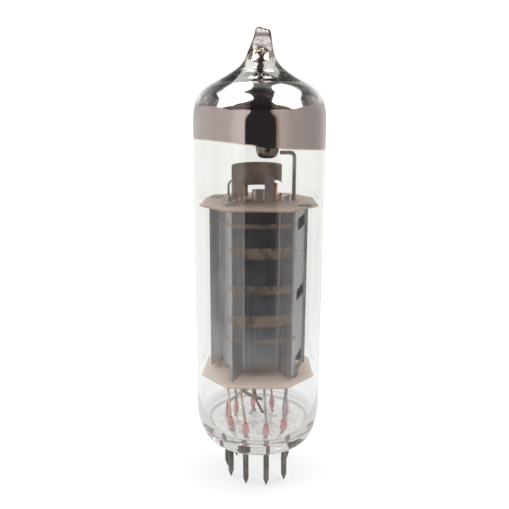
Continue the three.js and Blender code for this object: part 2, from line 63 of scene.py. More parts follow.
# ------------------------------------------------------------------ dimensions (mm), the CAD frame
PHOTO_TURN = 6.2      # the viewing direction's azimuth in the row frame
MICA_TURN = 5.0
CAGE_TURN = 11.4
PIN_CIRCLE_R, PIN_R, PIN_BELOW, PIN_TAPER, PIN_IN_GLASS = 5.944, 0.5, 7.1, 1.15, 1.05
SEAL_TOP = 5.0
MICA_T, LOWER_MICA_Z, UPPER_MICA_Z = 0.3, 13.25, 43.3
ANODE_T, ANODE_Z0, ANODE_Z1 = 0.17, 13.95, 43.0
TOP = UPPER_MICA_Z + MICA_T
GRIDS = {
    "control": dict(rodX=2.72, rodR=0.4, a=3.22, b=1.1, wire=0.05, turns=62, z0=15.2, z1=41.6, rodZ0=12.0, rodZ1=46.6),
    "screen": dict(rodX=3.75, rodR=0.4, a=4.4, b=1.95, wire=0.055, turns=46, z0=15.2, z1=41.6, rodZ0=12.2, rodZ1=44.9),
    "suppressor": dict(rodX=5.08, rodR=0.4, a=5.75, b=3.0, wire=0.06, turns=18, z0=15.6, z1=41.2, rodZ0=12.4, rodZ1=44.5),
}


def turn(p, deg):
    c, s = math.cos(math.radians(deg)), math.sin(math.radians(deg))
    return (p[0] * c - p[1] * s, p[0] * s + p[1] * c)


def cage(x, y):
    return turn((x, y), CAGE_TURN)


def photo(x, y):
    return turn((x, y), PHOTO_TURN)


# ------------------------------------------------------------------ node helpers
class Nodes:
    """Short hand for building one node tree."""

    def __init__(self, tree):
        self.t = tree
        tree.nodes.clear()

    def n(self, kind, **kw):
        node = self.t.nodes.new(kind)
        for k, v in kw.items():
            setattr(node, k, v)
        return node

    def link(self, a, b):
        self.t.links.new(a, b)

    def put(self, socket, value):
        if isinstance(value, bpy.types.NodeSocket):
            self.link(value, socket)
        elif value is not None:
            if socket.type == "RGBA" and not hasattr(value, "__len__"):
                value = (value, value, value, 1)
            if socket.type == "RGBA" and len(value) == 3:
                value = (*value, 1)
            socket.default_value = value

    def math(self, op, a, b=None, c=None, clamp=False):
        m = self.n("ShaderNodeMath", operation=op, use_clamp=clamp)
        for i, v in enumerate((a, b, c)):
            if v is not None:
                self.put(m.inputs[i], v)
        return m.outputs[0]

    def mix(self, f, a, b, blend="MIX"):
        m = self.n("ShaderNodeMix", data_type="RGBA", blend_type=blend)
        self.put(m.inputs[0], f)
        self.put(m.inputs[6], a)
        self.put(m.inputs[7], b)
        return m.outputs[2]

    def ramp(self, f, stops, mode="LINEAR"):
        r = self.n("ShaderNodeValToRGB")
        r.color_ramp.interpolation = mode
        while len(r.color_ramp.elements) < len(stops):
            r.color_ramp.elements.new(0.5)
        for e, (p, c) in zip(r.color_ramp.elements, stops):
            e.position = p
            e.color = (c, c, c, 1) if not hasattr(c, "__len__") else (*c, 1)
        self.put(r.inputs[0], f)
        return r.outputs[0]

    def span(self, v, lo, hi, a=0.0, b=1.0, smooth=True):
        m = self.n("ShaderNodeMapRange", interpolation_type="SMOOTHSTEP" if smooth else "LINEAR")
        for i, x in enumerate((v, lo, hi, a, b)):
            self.put(m.inputs[i], x)
        return m.outputs[0]

    def obj(self):
        return self.n("ShaderNodeTexCoord").outputs["Object"]

    def scaled(self, vec, s):
        m = self.n("ShaderNodeMapping")
        self.put(m.inputs["Vector"], vec)
        m.inputs["Scale"].default_value = s if hasattr(s, "__len__") else (s, s, s)
        return m.outputs[0]

    def noise(self, vec, scale, detail=4.0, rough=0.55, distort=0.0):
        t = self.n("ShaderNodeTexNoise")
        self.put(t.inputs["Vector"], vec)
        t.inputs["Scale"].default_value = scale
        t.inputs["Detail"].default_value = detail
        t.inputs["Roughness"].default_value = rough
        t.inputs["Distortion"].default_value = distort
        return t.outputs["Fac"]

    def voronoi(self, vec, scale, feature="F1"):
        t = self.n("ShaderNodeTexVoronoi", feature=feature)
        self.put(t.inputs["Vector"], vec)
        t.inputs["Scale"].default_value = scale
        return t.outputs["Distance"]

    def bump(self, height, distance, strength=1.0):
        b = self.n("ShaderNodeBump")
        self.put(b.inputs["Height"], height)
        b.inputs["Distance"].default_value = distance
        b.inputs["Strength"].default_value = strength
        return b.outputs[0]


def material(name):
    m = bpy.data.materials.new(name)
    m.use_nodes = True
    N = Nodes(m.node_tree)
    out = N.n("ShaderNodeOutputMaterial")
    return m, N, out


def principled(N, out, **kw):
    b = N.n("ShaderNodeBsdfPrincipled")
    names = {"base": "Base Color", "metal": "Metallic", "rough": "Roughness", "normal": "Normal", "ior": "IOR",
             "spec": "Specular IOR Level", "sheen": "Sheen Weight", "coat": "Coat Weight", "coat_rough": "Coat Roughness",
             "sss": "Subsurface Weight", "alpha": "Alpha", "aniso": "Anisotropic", "tint": "Specular Tint"}
    for k, v in kw.items():
        N.put(b.inputs[names[k]], v)
    if out is not None:
        N.link(b.outputs[0], out.inputs["Surface"])
    return b


# ------------------------------------------------------------------ materials
def glass_material(name, tint=(0.985, 0.99, 0.985), scratches=True):
    m, N, out = material(name)
    p = N.obj()
    g = N.n("ShaderNodeBsdfGlass")
    smear = N.noise(N.scaled(p, (260, 260, 90)), 1.0, 5, 0.6)
    tinted = N.mix(N.span(smear, 0.45, 0.8), (*tint, 1), (tint[0] * 0.975, tint[1] * 0.972, tint[2] * 0.96, 1))
    high = N.n("ShaderNodeSeparateXYZ")
    N.put(high.inputs[0], p)
    # painted shade: fine grey lines where the wall turns into the pressed base, standing in for the inner floor's edge
    # as seen through the wall
    out_r = N.math("SQRT", N.math("ADD", N.math("MULTIPLY", high.outputs[0], high.outputs[0]), N.math("MULTIPLY", high.outputs[1], high.outputs[1])))
    drift = N.math("MULTIPLY_ADD", N.noise(N.scaled(p, (120, 120, 60)), 1.0, 2, 0.5), 0.0006, -0.0003)
    level = N.math("ADD", high.outputs[2], drift)
    wide = N.span(N.math("ABSOLUTE", N.math("SUBTRACT", level, 0.00335)), 0.00026, 0.00010)
    thin = N.math("MULTIPLY", N.span(N.math("ABSOLUTE", N.math("SUBTRACT", level, 0.0042)), 0.00014, 0.00005), 0.6)
    rings = N.math("MULTIPLY", N.math("MAXIMUM", wide, thin), N.math("MULTIPLY", N.math("LESS_THAN", out_r, 0.0099), N.math("GREATER_THAN", out_r, 0.0082)))
    tinted = N.mix(rings, tinted, (0.58, 0.555, 0.555, 1))
    # the drawn tip is thick; painted shade darkens it towards its rim, where it turns away from the view
    rim = N.n("ShaderNodeLayerWeight")
    rim.inputs["Blend"].default_value = 0.5
    tip_shade_and_flecks = N.mix(N.span(rim.outputs["Facing"], 0.40, 0.85), (0.90, 0.87, 0.85, 1), (0.22, 0.215, 0.225, 1))
    melt = N.noise(N.scaled(p, (900, 900, 1500)), 1.0, 4, 0.65)
    fleck = N.math("MULTIPLY", N.span(melt, 0.50, 0.62), N.span(high.outputs[2], 0.0672, 0.0684, 0.0, 0.75))
    ringed = N.math("MULTIPLY", N.span(high.outputs[2], 0.0699, 0.0702), N.span(high.outputs[2], 0.0708, 0.0705))
    fleck = N.math("MAXIMUM", fleck, N.math("MULTIPLY", ringed, 0.8))
    tip_shade_and_flecks = N.mix(fleck, tip_shade_and_flecks, (0.42, 0.39, 0.39, 1))
    N.put(g.inputs["Color"], N.mix(N.span(high.outputs[2], 0.0652, 0.0690), tinted, tip_shade_and_flecks))
    g.inputs["IOR"].default_value = 1.5
    N.put(g.inputs["Roughness"], N.span(N.noise(N.scaled(p, (500, 500, 160)), 1.0, 6, 0.7), 0.56, 0.85, 0.0, 0.03))
    wave = N.noise(N.scaled(p, (55, 55, 16)), 1.0, 2, 0.4)
    N.put(g.inputs["Normal"], N.bump(wave, 0.00035, 0.25))
    clear = N.n("ShaderNodeBsdfTransparent")
    clear.inputs["Color"].default_value = (0.93, 0.935, 0.93, 1)
    lp = N.n("ShaderNodeLightPath")
    f = N.math("MAXIMUM", lp.outputs["Is Shadow Ray"], lp.outputs["Is Diffuse Ray"])
    mix = N.n("ShaderNodeMixShader")
    N.put(mix.inputs[0], f)
    N.link(g.outputs[0], mix.inputs[1])
    N.link(clear.outputs[0], mix.inputs[2])
    # painted glow: an emission stands in for light that has bounced about inside the thick base, an even pale tone with
    # fine dark flow lines near the middle
    sep = N.n("ShaderNodeSeparateXYZ")
    N.put(sep.inputs[0], p)
    painted_base_glow = N.n("ShaderNodeEmission")
    cloudy = N.noise(N.scaled(p, (300, 300, 500)), 1.0, 3, 0.55, 0.9)
    painted_light_tone = N.mix(cloudy, (0.60, 0.565, 0.555, 1), (0.76, 0.73, 0.72, 1))
    rr = N.math("SQRT", N.math("ADD", N.math("MULTIPLY", sep.outputs[0], sep.outputs[0]), N.math("MULTIPLY", sep.outputs[1], sep.outputs[1])))
    flow = N.math("MULTIPLY", N.math("SUBTRACT", 1.0, N.span(N.math("ABSOLUTE", N.math("SUBTRACT", cloudy, 0.5)), 0.004, 0.03)), N.span(rr, 0.0083, 0.0074))
    N.put(painted_base_glow.inputs["Color"], N.mix(N.math("MULTIPLY", flow, 0.8), painted_light_tone, (0.20, 0.18, 0.18, 1)))
    depth = lp.outputs["Ray Depth"]
    inner = N.math("ADD", N.math("MULTIPLY", N.math("GREATER_THAN", depth, 1.5), 0.26), N.math("ADD", N.math("MULTIPLY", N.math("GREATER_THAN", depth, 2.5), 0.36), N.math("MULTIPLY", N.math("GREATER_THAN", depth, 3.5), 0.30)))
    inner = N.math("MULTIPLY", inner, N.span(sep.outputs[2], 0.0056, 0.0044))
    # painted glow: deep rays in the base, and any ray past eleven bounces, show the emission instead of the glass
    end = N.n("ShaderNodeMixShader")
    N.put(end.inputs[0], N.math("MAXIMUM", inner, N.math("GREATER_THAN", depth, 11.5)))
    N.link(mix.outputs[0], end.inputs[1])
    N.link(painted_base_glow.outputs[0], end.inputs[2])
    # a worn gold-brown printed decoration on the outside: a short stack of plain bars
    pt = math.radians(PHOTO_TURN)
    fx = N.math("ADD", N.math("MULTIPLY", sep.outputs[0], math.cos(pt)), N.math("MULTIPLY", sep.outputs[1], math.sin(pt)))
    fy = N.math("SUBTRACT", N.math("MULTIPLY", sep.outputs[1], math.cos(pt)), N.math("MULTIPLY", sep.outputs[0], math.sin(pt)))
    arc = N.math("ABSOLUTE", N.math("MULTIPLY", N.math("ARCTAN2", fx, N.math("MULTIPLY", fy, -1.0)), 11.0))
    zmm = N.math("MULTIPLY", sep.outputs[2], 1000.0)

    def bar(zc, half_h, a0, a1):
        v = N.span(N.math("ABSOLUTE", N.math("SUBTRACT", zmm, zc)), half_h + 0.07, half_h - 0.07)
        h = N.math("MULTIPLY", N.span(arc, a1 + 0.07, a1 - 0.07), N.span(arc, a0 - 0.07, a0 + 0.07) if a0 > 0 else 1.0)
        return N.math("MULTIPLY", v, h)

    marks = [bar(41.4, 0.35, 0, 6.4), bar(37.0, 0.9, 0, 5.4), bar(31.0, 0.7, 0, 5.4), bar(25.8, 0.9, 0, 5.4), bar(22.4, 0.35, 0, 6.4)]
    ink = marks[0]
    for k in marks[1:]:
        ink = N.math("MAXIMUM", ink, k)
    worn = N.math("MULTIPLY", N.span(N.noise(N.scaled(p, (700, 700, 420)), 1.0, 5, 0.7), 0.34, 0.58, 0.15, 1.0), N.span(N.noise(N.scaled(p, 130), 1.0, 2, 0.5), 0.32, 0.56, 0.4, 1.0))
    ink = N.math("MULTIPLY", N.math("MULTIPLY", ink, worn), N.math("MULTIPLY", N.math("GREATER_THAN", rr, 0.01085), 0.52))
    paint = principled(N, None, base=(0.33, 0.245, 0.175, 1), metal=0.0, rough=0.04)
    printed = N.n("ShaderNodeMixShader")
    N.put(printed.inputs[0], ink)
    N.link(end.outputs[0], printed.inputs[1])
    N.link(paint.outputs[0], printed.inputs[2])
    N.link(printed.outputs[0], out.inputs["Surface"])
    return m


def film_material():
    m, N, out = material("getter_mirror_film")
    p = N.obj()
    sep = N.n("ShaderNodeSeparateXYZ")
    N.put(sep.inputs[0], p)
    z = sep.outputs[2]
    warm = N.noise(N.scaled(p, (70, 70, 40)), 1.0, 3, 0.5)
    # silver on the dome, thinner and browner towards the lower edge
    low = N.span(z, 0.0592, 0.0604)
    base = N.mix(low, N.mix(warm, (0.475, 0.400, 0.375, 1), (0.435, 0.385, 0.380, 1)), (0.86, 0.84, 0.82, 1))
    # burnt darker in a ring round the foot of the tip
    rad = N.math("SQRT", N.math("ADD", N.math("MULTIPLY", sep.outputs[0], sep.outputs[0]), N.math("MULTIPLY", sep.outputs[1], sep.outputs[1])))
    ring_ = N.math("MULTIPLY", N.math("MULTIPLY", N.span(rad, 0.0060, 0.0050), N.span(rad, 0.0024, 0.0030)), N.span(N.noise(N.scaled(p, 420), 1.0, 3, 0.6), 0.35, 0.60, 0.55, 0.95))
    base = N.mix(ring_, base, (0.17, 0.155, 0.155, 1))
    b = principled(N, None, base=base, metal=1.0, rough=N.mix(N.span(z, 0.0510, 0.0600), 0.06, 0.035))
    t = N.n("ShaderNodeBsdfTransparent")
    t.inputs["Color"].default_value = (0.92, 0.86, 0.80, 1)
    edge = N.n("ShaderNodeAttribute", attribute_name="edge")
    ragged = N.math("ADD", edge.outputs["Fac"], N.math("MULTIPLY", N.math("SUBTRACT", N.noise(N.scaled(p, 900), 1.0, 3, 0.6), 0.5), 0.25))
    low_fade = N.span(ragged, 0.02, 0.75)
    thin = N.math("MULTIPLY", N.math("SUBTRACT", N.noise(N.scaled(p, 1300), 1.0, 3, 0.6), 0.5), 0.0016)
    top_fade = N.span(N.math("ADD", z, thin), 0.0680, 0.0662)
    mix = N.n("ShaderNodeMixShader")
    N.put(mix.inputs[0], N.math("MULTIPLY", low_fade, top_fade))
    N.link(t.outputs[0], mix.inputs[1])
    N.link(b.outputs[0], mix.inputs[2])
    N.link(mix.outputs[0], out.inputs["Surface"])
    return m


def anode_material():
    m, N, out = material("carbonised_anode_sheet")
    p = N.obj()
    streak = N.noise(N.scaled(p, (900, 900, 45)), 1.0, 5, 0.65)
    cloud = N.noise(N.scaled(p, 210), 1.0, 4, 0.55)
    grain = N.noise(N.scaled(p, 5200), 1.0, 2, 0.6)
    base = N.mix(N.span(cloud, 0.35, 0.7), (0.184, 0.182, 0.196, 1), (0.238, 0.229, 0.234, 1))
    base = N.mix(N.math("MULTIPLY", N.span(streak, 0.5, 0.75), 0.55), base, (0.115, 0.111, 0.116, 1))
    fine = N.noise(N.scaled(p, (2100, 2100, 60)), 1.0, 4, 0.6)
    base = N.mix(N.math("MULTIPLY", N.span(fine, 0.52, 0.72), 0.45), base, (0.35, 0.342, 0.345, 1))
    base = N.mix(N.math("MULTIPLY", N.span(grain, 0.55, 0.8), 0.25), base, (0.30, 0.295, 0.29, 1))
    # painted light and shade: paler on the ribs and the left-hand side, darker across the middle panel
    across = N.n("ShaderNodeSeparateXYZ")
    N.put(across.inputs[0], p)
    c11, s11 = math.cos(math.radians(CAGE_TURN)), math.sin(math.radians(CAGE_TURN))
    xc = N.math("ADD", N.math("MULTIPLY", across.outputs[0], c11 / 0.018), N.math("MULTIPLY_ADD", across.outputs[1], s11 / 0.018, 0.5))
    painted_light_tone = N.ramp(xc, [(0.0, 0.86), (0.19, 0.90), (0.24, 0.96), (0.31, 0.94), (0.345, 0.49), (0.655, 0.47), (0.69, 0.90), (0.77, 0.88), (0.80, 0.56), (1.0, 0.68)])
    base = N.mix(1.0, base, N.mix(1.0, painted_light_tone, (2.0, 2.0, 2.0, 1), "MULTIPLY"), "MULTIPLY")
    rough = N.span(cloud, 0.3, 0.75, 0.27, 0.38)
    h = N.math("ADD", N.math("MULTIPLY", grain, 0.35), N.math("MULTIPLY", streak, 0.65))
    principled(N, out, base=base, metal=0.9, rough=rough, normal=N.bump(h, 0.00002, 0.35))
    return m


def mica_material():
    m, N, out = material("mica_sheet")
    p = N.obj()
    cloud = N.noise(N.scaled(p, (240, 240, 240)), 1.0, 5, 0.6)
    fleck = N.noise(N.scaled(p, (1500, 1100, 900)), 1.0, 4, 0.6)
    sep = N.n("ShaderNodeSeparateXYZ")
    N.put(sep.inputs[0], p)
    # painted light: the lower sheet gets paler colours than the upper one
    upper = N.span(sep.outputs[2], 0.020, 0.040)
    base = N.mix(N.span(cloud, 0.3, 0.7), N.mix(upper, (0.84, 0.69, 0.60, 1), (0.70, 0.57, 0.49, 1)), N.mix(upper, (0.93, 0.81, 0.73, 1), (0.80, 0.68, 0.60, 1)))
    base = N.mix(N.math("MULTIPLY", N.span(fleck, 0.60, 0.78), 0.5), base, (0.60, 0.44, 0.35, 1))
    # painted light: the lower sheet is paler toward its -x side
    lit = N.math("MULTIPLY", N.math("SUBTRACT", 1.0, upper), N.span(sep.outputs[0], -0.0035, -0.0075))
    base = N.mix(N.math("MULTIPLY", lit, 0.75), base, (1.0, 0.93, 0.87, 1))
    # cleaved layers show as fine lines round the edge
    layers = N.noise(N.scaled(p, (60, 60, 16000)), 1.0, 2, 0.5)
    g2 = N.n("ShaderNodeNewGeometry")
    ns = N.n("ShaderNodeSeparateXYZ")
    N.put(ns.inputs[0], g2.outputs["True Normal"])
    rim = N.math("LESS_THAN", N.math("ABSOLUTE", ns.outputs[2]), 0.5)
    base = N.mix(N.math("MULTIPLY", rim, N.span(layers, 0.45, 0.6)), base, (0.42, 0.31, 0.26, 1))
    b = principled(N, None, base=base, rough=N.span(cloud, 0.3, 0.7, 0.38, 0.5), spec=0.5, normal=N.bump(fleck, 0.00003, 0.35))
    tr = N.n("ShaderNodeBsdfTranslucent")
    tr.inputs["Color"].default_value = (0.72, 0.55, 0.45, 1)
    mix = N.n("ShaderNodeMixShader")
    mix.inputs[0].default_value = 0.38
    N.link(b.outputs[0], mix.inputs[1])
    N.link(tr.outputs[0], mix.inputs[2])
    N.link(mix.outputs[0], out.inputs["Surface"])
    return m


def metal_material(name, light, dark, rough=(0.28, 0.45), scale=(700, 700, 120), bump=0.00001, metal=0.95, spots=None):
    m, N, out = material(name)
    p = N.obj()
    a = N.noise(N.scaled(p, scale), 1.0, 5, 0.6)
    c = N.noise(N.scaled(p, 420), 1.0, 4, 0.55)
    base = N.mix(N.span(c, 0.35, 0.68), (*dark, 1), (*light, 1))
    base = N.mix(N.math("MULTIPLY", N.span(a, 0.55, 0.78), 0.5), base, (dark[0] * 0.7, dark[1] * 0.7, dark[2] * 0.7, 1))
    if spots:
        s = N.noise(N.scaled(p, 1600), 1.0, 3, 0.6)
        base = N.mix(N.span(s, 0.62, 0.72), base, (*spots, 1))
    principled(N, out, base=base, metal=metal, rough=N.span(a, 0.3, 0.75, *rough), normal=N.bump(a, bump, 0.5))
    return m


def seal_material():
    m, N, out = material("red_seal_wire")
    p = N.obj()
    a = N.noise(N.scaled(p, (900, 900, 300)), 1.0, 4, 0.6)
    base = N.mix(N.span(a, 0.35, 0.7), (0.52, 0.065, 0.10, 1), (0.66, 0.16, 0.185, 1))
    principled(N, out, base=base, metal=0.15, rough=N.span(a, 0.3, 0.7, 0.35, 0.5), normal=N.bump(a, 0.00001, 0.4))
    return m


def ceramic_material(name, light, dark, rough=0.7):
    m, N, out = material(name)
    p = N.obj()
    a = N.noise(N.scaled(p, 2600), 1.0, 5, 0.65)
    c = N.noise(N.scaled(p, 300), 1.0, 3, 0.5)
    base = N.mix(N.span(c, 0.3, 0.7), (*dark, 1), (*light, 1))
    principled(N, out, base=base, rough=rough, normal=N.bump(a, 0.00002, 0.5))
    return m


def sleeve_material():
    m, N, out = material("cathode_sleeve_metal")
    p = N.obj()
    sep = N.n("ShaderNodeSeparateXYZ")
    N.put(sep.inputs[0], p)
    coat = N.math("MULTIPLY", N.span(sep.outputs[2], 0.0150, 0.0153), N.span(sep.outputs[2], 0.0418, 0.0414))
    a = N.noise(N.scaled(p, (800, 800, 200)), 1.0, 4, 0.6)
    grain = N.noise(N.scaled(p, 4200), 1.0, 3, 0.7)
    base = N.mix(coat, N.mix(a, (0.72, 0.66, 0.63, 1), (0.82, 0.77, 0.74, 1)), (0.86, 0.85, 0.83, 1))
    principled(N, out, base=base, metal=N.math("SUBTRACT", 0.75, N.math("MULTIPLY", coat, 0.75)),
               rough=N.mix(coat, 0.32, 0.85), normal=N.bump(N.math("MULTIPLY", grain, coat), 0.00004, 0.6))
    return m


M_GLASS = glass_material("envelope_clear_glass")
M_FILM = film_material()
M_ANODE = anode_material()
M_MICA = mica_material()
M_PIN = metal_material("oxidised_pin", (0.20, 0.175, 0.155), (0.105, 0.09, 0.08), (0.3, 0.5), (500, 500, 260), 0.00002, 0.85, (0.30, 0.25, 0.21))
M_LEAD = metal_material("drawn_nickel_lead", (0.44, 0.41, 0.385), (0.26, 0.24, 0.23), (0.25, 0.42), metal=0.85)
M_TINTED = {
    6: metal_material("heat_tinted_lead_orange", (0.90, 0.70, 0.53), (0.68, 0.51, 0.385), (0.25, 0.4), metal=0.8),
    7: metal_material("heat_tinted_lead_tan", (0.74, 0.60, 0.50), (0.50, 0.41, 0.36), (0.25, 0.4), metal=0.8),
    8: metal_material("heat_tinted_lead_grey", (0.56, 0.59, 0.57), (0.38, 0.42, 0.40), (0.25, 0.4), metal=0.8),
    9: metal_material("heat_tinted_lead_blue", (0.50, 0.49, 0.53), (0.32, 0.32, 0.35), (0.25, 0.4), metal=0.8),
}
M_NICKEL = metal_material("nickel_ribbon", (0.50, 0.47, 0.44), (0.30, 0.275, 0.255), (0.25, 0.4))
M_COPPER = metal_material("copper_rod", (0.70, 0.45, 0.34), (0.50, 0.30, 0.21), (0.22, 0.36))
M_BROWN = metal_material("copper_ribbon", (0.42, 0.20, 0.13), (0.22, 0.10, 0.07), (0.3, 0.45))
M_GRIDWIRE = metal_material("grid_wire", (0.42, 0.40, 0.38), (0.26, 0.25, 0.24), (0.25, 0.4))
M_RADIATOR = metal_material("blackened_radiator", (0.58, 0.475, 0.42), (0.40, 0.32, 0.28), (0.4, 0.55), (600, 600, 160), 0.00002, 0.35)
M_STRAP = metal_material("radiator_strap", (0.52, 0.485, 0.495), (0.38, 0.355, 0.365), (0.32, 0.45), metal=0.5)
M_GETTER = metal_material("getter_pan", (0.34, 0.30, 0.28), (0.17, 0.14, 0.13), (0.25, 0.42), (500, 500, 500), 0.00002)
M_SEAL = seal_material()
M_HEATER = ceramic_material("heater_alumina", (0.86, 0.85, 0.82), (0.74, 0.72, 0.70))
M_SLEEVE = sleeve_material()


# ------------------------------------------------------------------ mesh helpers
def build(name, verts, faces, mat, nodes=(), slot=None, angle=38, fix=True):
    me = bpy.data.meshes.new(name)
    me.from_pydata([(v[0] * MM, v[1] * MM, v[2] * MM) for v in verts], [], faces)
    me.update()
    ob = bpy.data.objects.new(name, me)
    SCENE.collection.objects.link(ob)
    settle(ob, mat, angle, fix)
    adopt(ob, nodes)
    return ob


def settle(ob, mat, angle=38, fix=True):
    me = ob.data
    bm = bmesh.new()
    bm.from_mesh(me)
    bmesh.ops.remove_doubles(bm, verts=bm.verts, dist=1e-7)
    if fix:
        bmesh.ops.recalc_face_normals(bm, faces=bm.faces)
    bm.to_mesh(me)
    bm.free()
    me.materials.clear()
    me.materials.append(mat)
    me.shade_smooth()
    me.set_sharp_from_angle(angle=math.radians(angle))


def adopt(ob, nodes):
    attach(ob, "root")
    if nodes:
        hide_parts(*([nodes] if isinstance(nodes, str) else nodes))


def refine(points, step=0.35, closed=False):
    """Centripetal Catmull-Rom through the points."""
    p = [np.array(q, float) for q in points]
    out = []
    n = len(p)
    for i in range(n - 1):
        p0 = p[i - 1] if i > 0 else 2 * p[0] - p[1]
        p1, p2 = p[i], p[i + 1]
        p3 = p[i + 2] if i + 2 < n else 2 * p[-1] - p[-2]
        t0 = 0.0
        t1 = t0 + max(np.linalg.norm(p1 - p0), 1e-9) ** 0.5
        t2 = t1 + max(np.linalg.norm(p2 - p1), 1e-9) ** 0.5
        t3 = t2 + max(np.linalg.norm(p3 - p2), 1e-9) ** 0.5
        k = max(1, int(math.ceil(np.linalg.norm(p2 - p1) / step)))
        for j in range(k):
            t = t1 + (t2 - t1) * j / k
            a1 = (t1 - t) / (t1 - t0) * p0 + (t - t0) / (t1 - t0) * p1
            a2 = (t2 - t) / (t2 - t1) * p1 + (t - t1) / (t2 - t1) * p2
            a3 = (t3 - t) / (t3 - t2) * p2 + (t - t2) / (t3 - t2) * p3
            b1 = (t2 - t) / (t2 - t0) * a1 + (t - t0) / (t2 - t0) * a2
            b2 = (t3 - t) / (t3 - t1) * a2 + (t - t1) / (t3 - t1) * a3
            out.append((t2 - t) / (t2 - t1) * b1 + (t - t1) / (t2 - t1) * b2)
    out.append(p[-1])
    return [tuple(q) for q in out]


def lathe(profile, segs, warp=None):
    """Vertices and faces of an (r, z) profile turned about Z. Points with r = 0 become poles."""
    verts, rings, faces = [], [], []
    for r, z in profile:
        if r < 1e-9:
            verts.append((0.0, 0.0, z))
            rings.append([len(verts) - 1] * segs)
        else:
            start = len(verts)
            for i in range(segs):
                t = 2 * math.pi * i / segs
                verts.append((r * math.cos(t), r * math.sin(t), z))
            rings.append(list(range(start, start + segs)))
    for a, b in zip(rings, rings[1:]):
        for i in range(segs):
            j = (i + 1) % segs
            q = [a[i], a[j], b[j], b[i]]
            u = []
            for v in q:
                if v not in u:
                    u.append(v)
            if len(u) >= 3:
                faces.append(u)
    if warp:
        verts = [warp(*v) for v in verts]
    return verts, faces


def shift(verts, dx=0.0, dy=0.0, dz=0.0):
    return [(x + dx, y + dy, z + dz) for x, y, z in verts]


def joined(parts):
    verts, faces = [], []
    for v, f in parts:
        k = len(verts)
        verts += list(v)
        faces += [[i + k for i in face] for face in f]
    return verts, faces


def bend_path(points, radius, chords=6):
    """A polyline with its corners rounded."""
    v = [Vector(p) for p in points]
    out = [v[0]]
    for i in range(1, len(v) - 1):
        a, b = v[i - 1] - v[i], v[i + 1] - v[i]
        r = min(radius, a.length / 2.05, b.length / 2.05)
        p, q = v[i] + a.normalized() * r, v[i] + b.normalized() * r
        for k in range(chords + 1):
            t = k / chords
            out.append(p * (1 - t) ** 2 + v[i] * (2 * t * (1 - t)) + q * t * t)
    out.append(v[-1])
    return out


def split_path(points, step):
    v = [Vector(p) for p in points]
    out = [v[0]]
    for a, b in zip(v, v[1:]):
        n = max(1, int(math.ceil((b - a).length / step)))
        out += [a.lerp(b, k / n) for k in range(1, n + 1)]
    return out


def sweep(points, section, taper=None, cap_round=0.0):
    """A closed section carried along a path with the least twist. section: a list of (u, v)."""
    v = [Vector(p) for p in points]
    n = len(v)
    tang = []
    for i in range(n):
        a = (v[i] - v[i - 1]).normalized() if i > 0 else None
        b = (v[i + 1] - v[i]).normalized() if i < n - 1 else None
        tang.append(((a or b) + (b or a)).normalized())
    t0 = tang[0]
    ref = Vector((0, 0, 1)) if abs(t0.z) < 0.8 else Vector((1, 0, 0))
    side = t0.cross(ref).normalized()
    frames = []
    for i in range(n):
        if i > 0:
            axis = tang[i - 1].cross(tang[i])
            if axis.length > 1e-9:
                side = Matrix.Rotation(tang[i - 1].angle(tang[i]), 3, axis.normalized()) @ side
            side = (side - tang[i] * side.dot(tang[i])).normalized()
        frames.append((side.copy(), tang[i].cross(side).normalized()))
    verts, faces, k = [], [], len(section)
    for i in range(n):
        s = taper(i / (n - 1)) if taper else 1.0
        for a, b in section:
            p = v[i] + frames[i][0] * (a * s) + frames[i][1] * (b * s)
            verts.append((p.x, p.y, p.z))
    for i in range(n - 1):
        for j in range(k):
            faces.append([i * k + j, i * k + (j + 1) % k, (i + 1) * k + (j + 1) % k, (i + 1) * k + j])
    faces.append(list(range(k))[::-1])
    faces.append([(n - 1) * k + j for j in range(k)])
    return verts, faces


def ring(r, n):
    return [(r * math.cos(2 * math.pi * i / n), r * math.sin(2 * math.pi * i / n)) for i in range(n)]


def wire(path, r, sides=14, nick=0.12):
    """A round wire with slightly rounded ends."""
    v = [Vector(p) for p in path]
    d0, d1 = (v[1] - v[0]).normalized(), (v[-1] - v[-2]).normalized()
    c = min(nick, r * 0.5)
    pts = [v[0]] + [v[0] + d0 * c] + v[1:-1] + [v[-1] - d1 * c] + [v[-1]]
    m = len(pts)
    scale = {0: 0.62, m - 1: 0.62}
    idx = {"i": 0}

    def taper(f):
        i = int(round(f * (m - 1)))
        return scale.get(i, 1.0)

    return sweep(pts, ring(r, sides), taper)


def from_curve(name, outline, holes, z0, thickness, bevel=0.03):
    """A flat plate with holes and softened edges, from a filled 2-D curve."""
    cu = bpy.data.curves.new(name + "_outline", "CURVE")
    cu.dimensions = "2D"
    cu.fill_mode = "BOTH"
    for loop in [outline] + holes:
        s = cu.splines.new("POLY")
        s.points.add(len(loop) - 1)
        for pt, (x, y) in zip(s.points, loop):
            pt.co = (x * MM, y * MM, 0, 1)
        s.use_cyclic_u = True
    cu.extrude = (thickness / 2 - bevel) * MM
    cu.bevel_depth = bevel * MM
    cu.bevel_resolution = 2
    cu.offset = -bevel * MM
    ob = bpy.data.objects.new(name + "_outline", cu)
    SCENE.collection.objects.link(ob)
    bpy.context.view_layer.update()
    me = bpy.data.meshes.new_from_object(ob.evaluated_get(bpy.context.evaluated_depsgraph_get()))
    bpy.data.objects.remove(ob)
    bpy.data.curves.remove(cu)
    me.transform(Matrix.Translation((0, 0, (z0 + thickness / 2) * MM)))
    me.name = name
    out = bpy.data.objects.new(name, me)
    SCENE.collection.objects.link(out)
    return out


def applied(ob):
    """ob's mesh with its modifiers applied."""
    bpy.context.view_layer.update()
    me = bpy.data.meshes.new_from_object(ob.evaluated_get(bpy.context.evaluated_depsgraph_get()))
    old = ob.data
    ob.modifiers.clear()
    ob.data = me
    me.name = ob.name
    bpy.data.meshes.remove(old)
    return ob


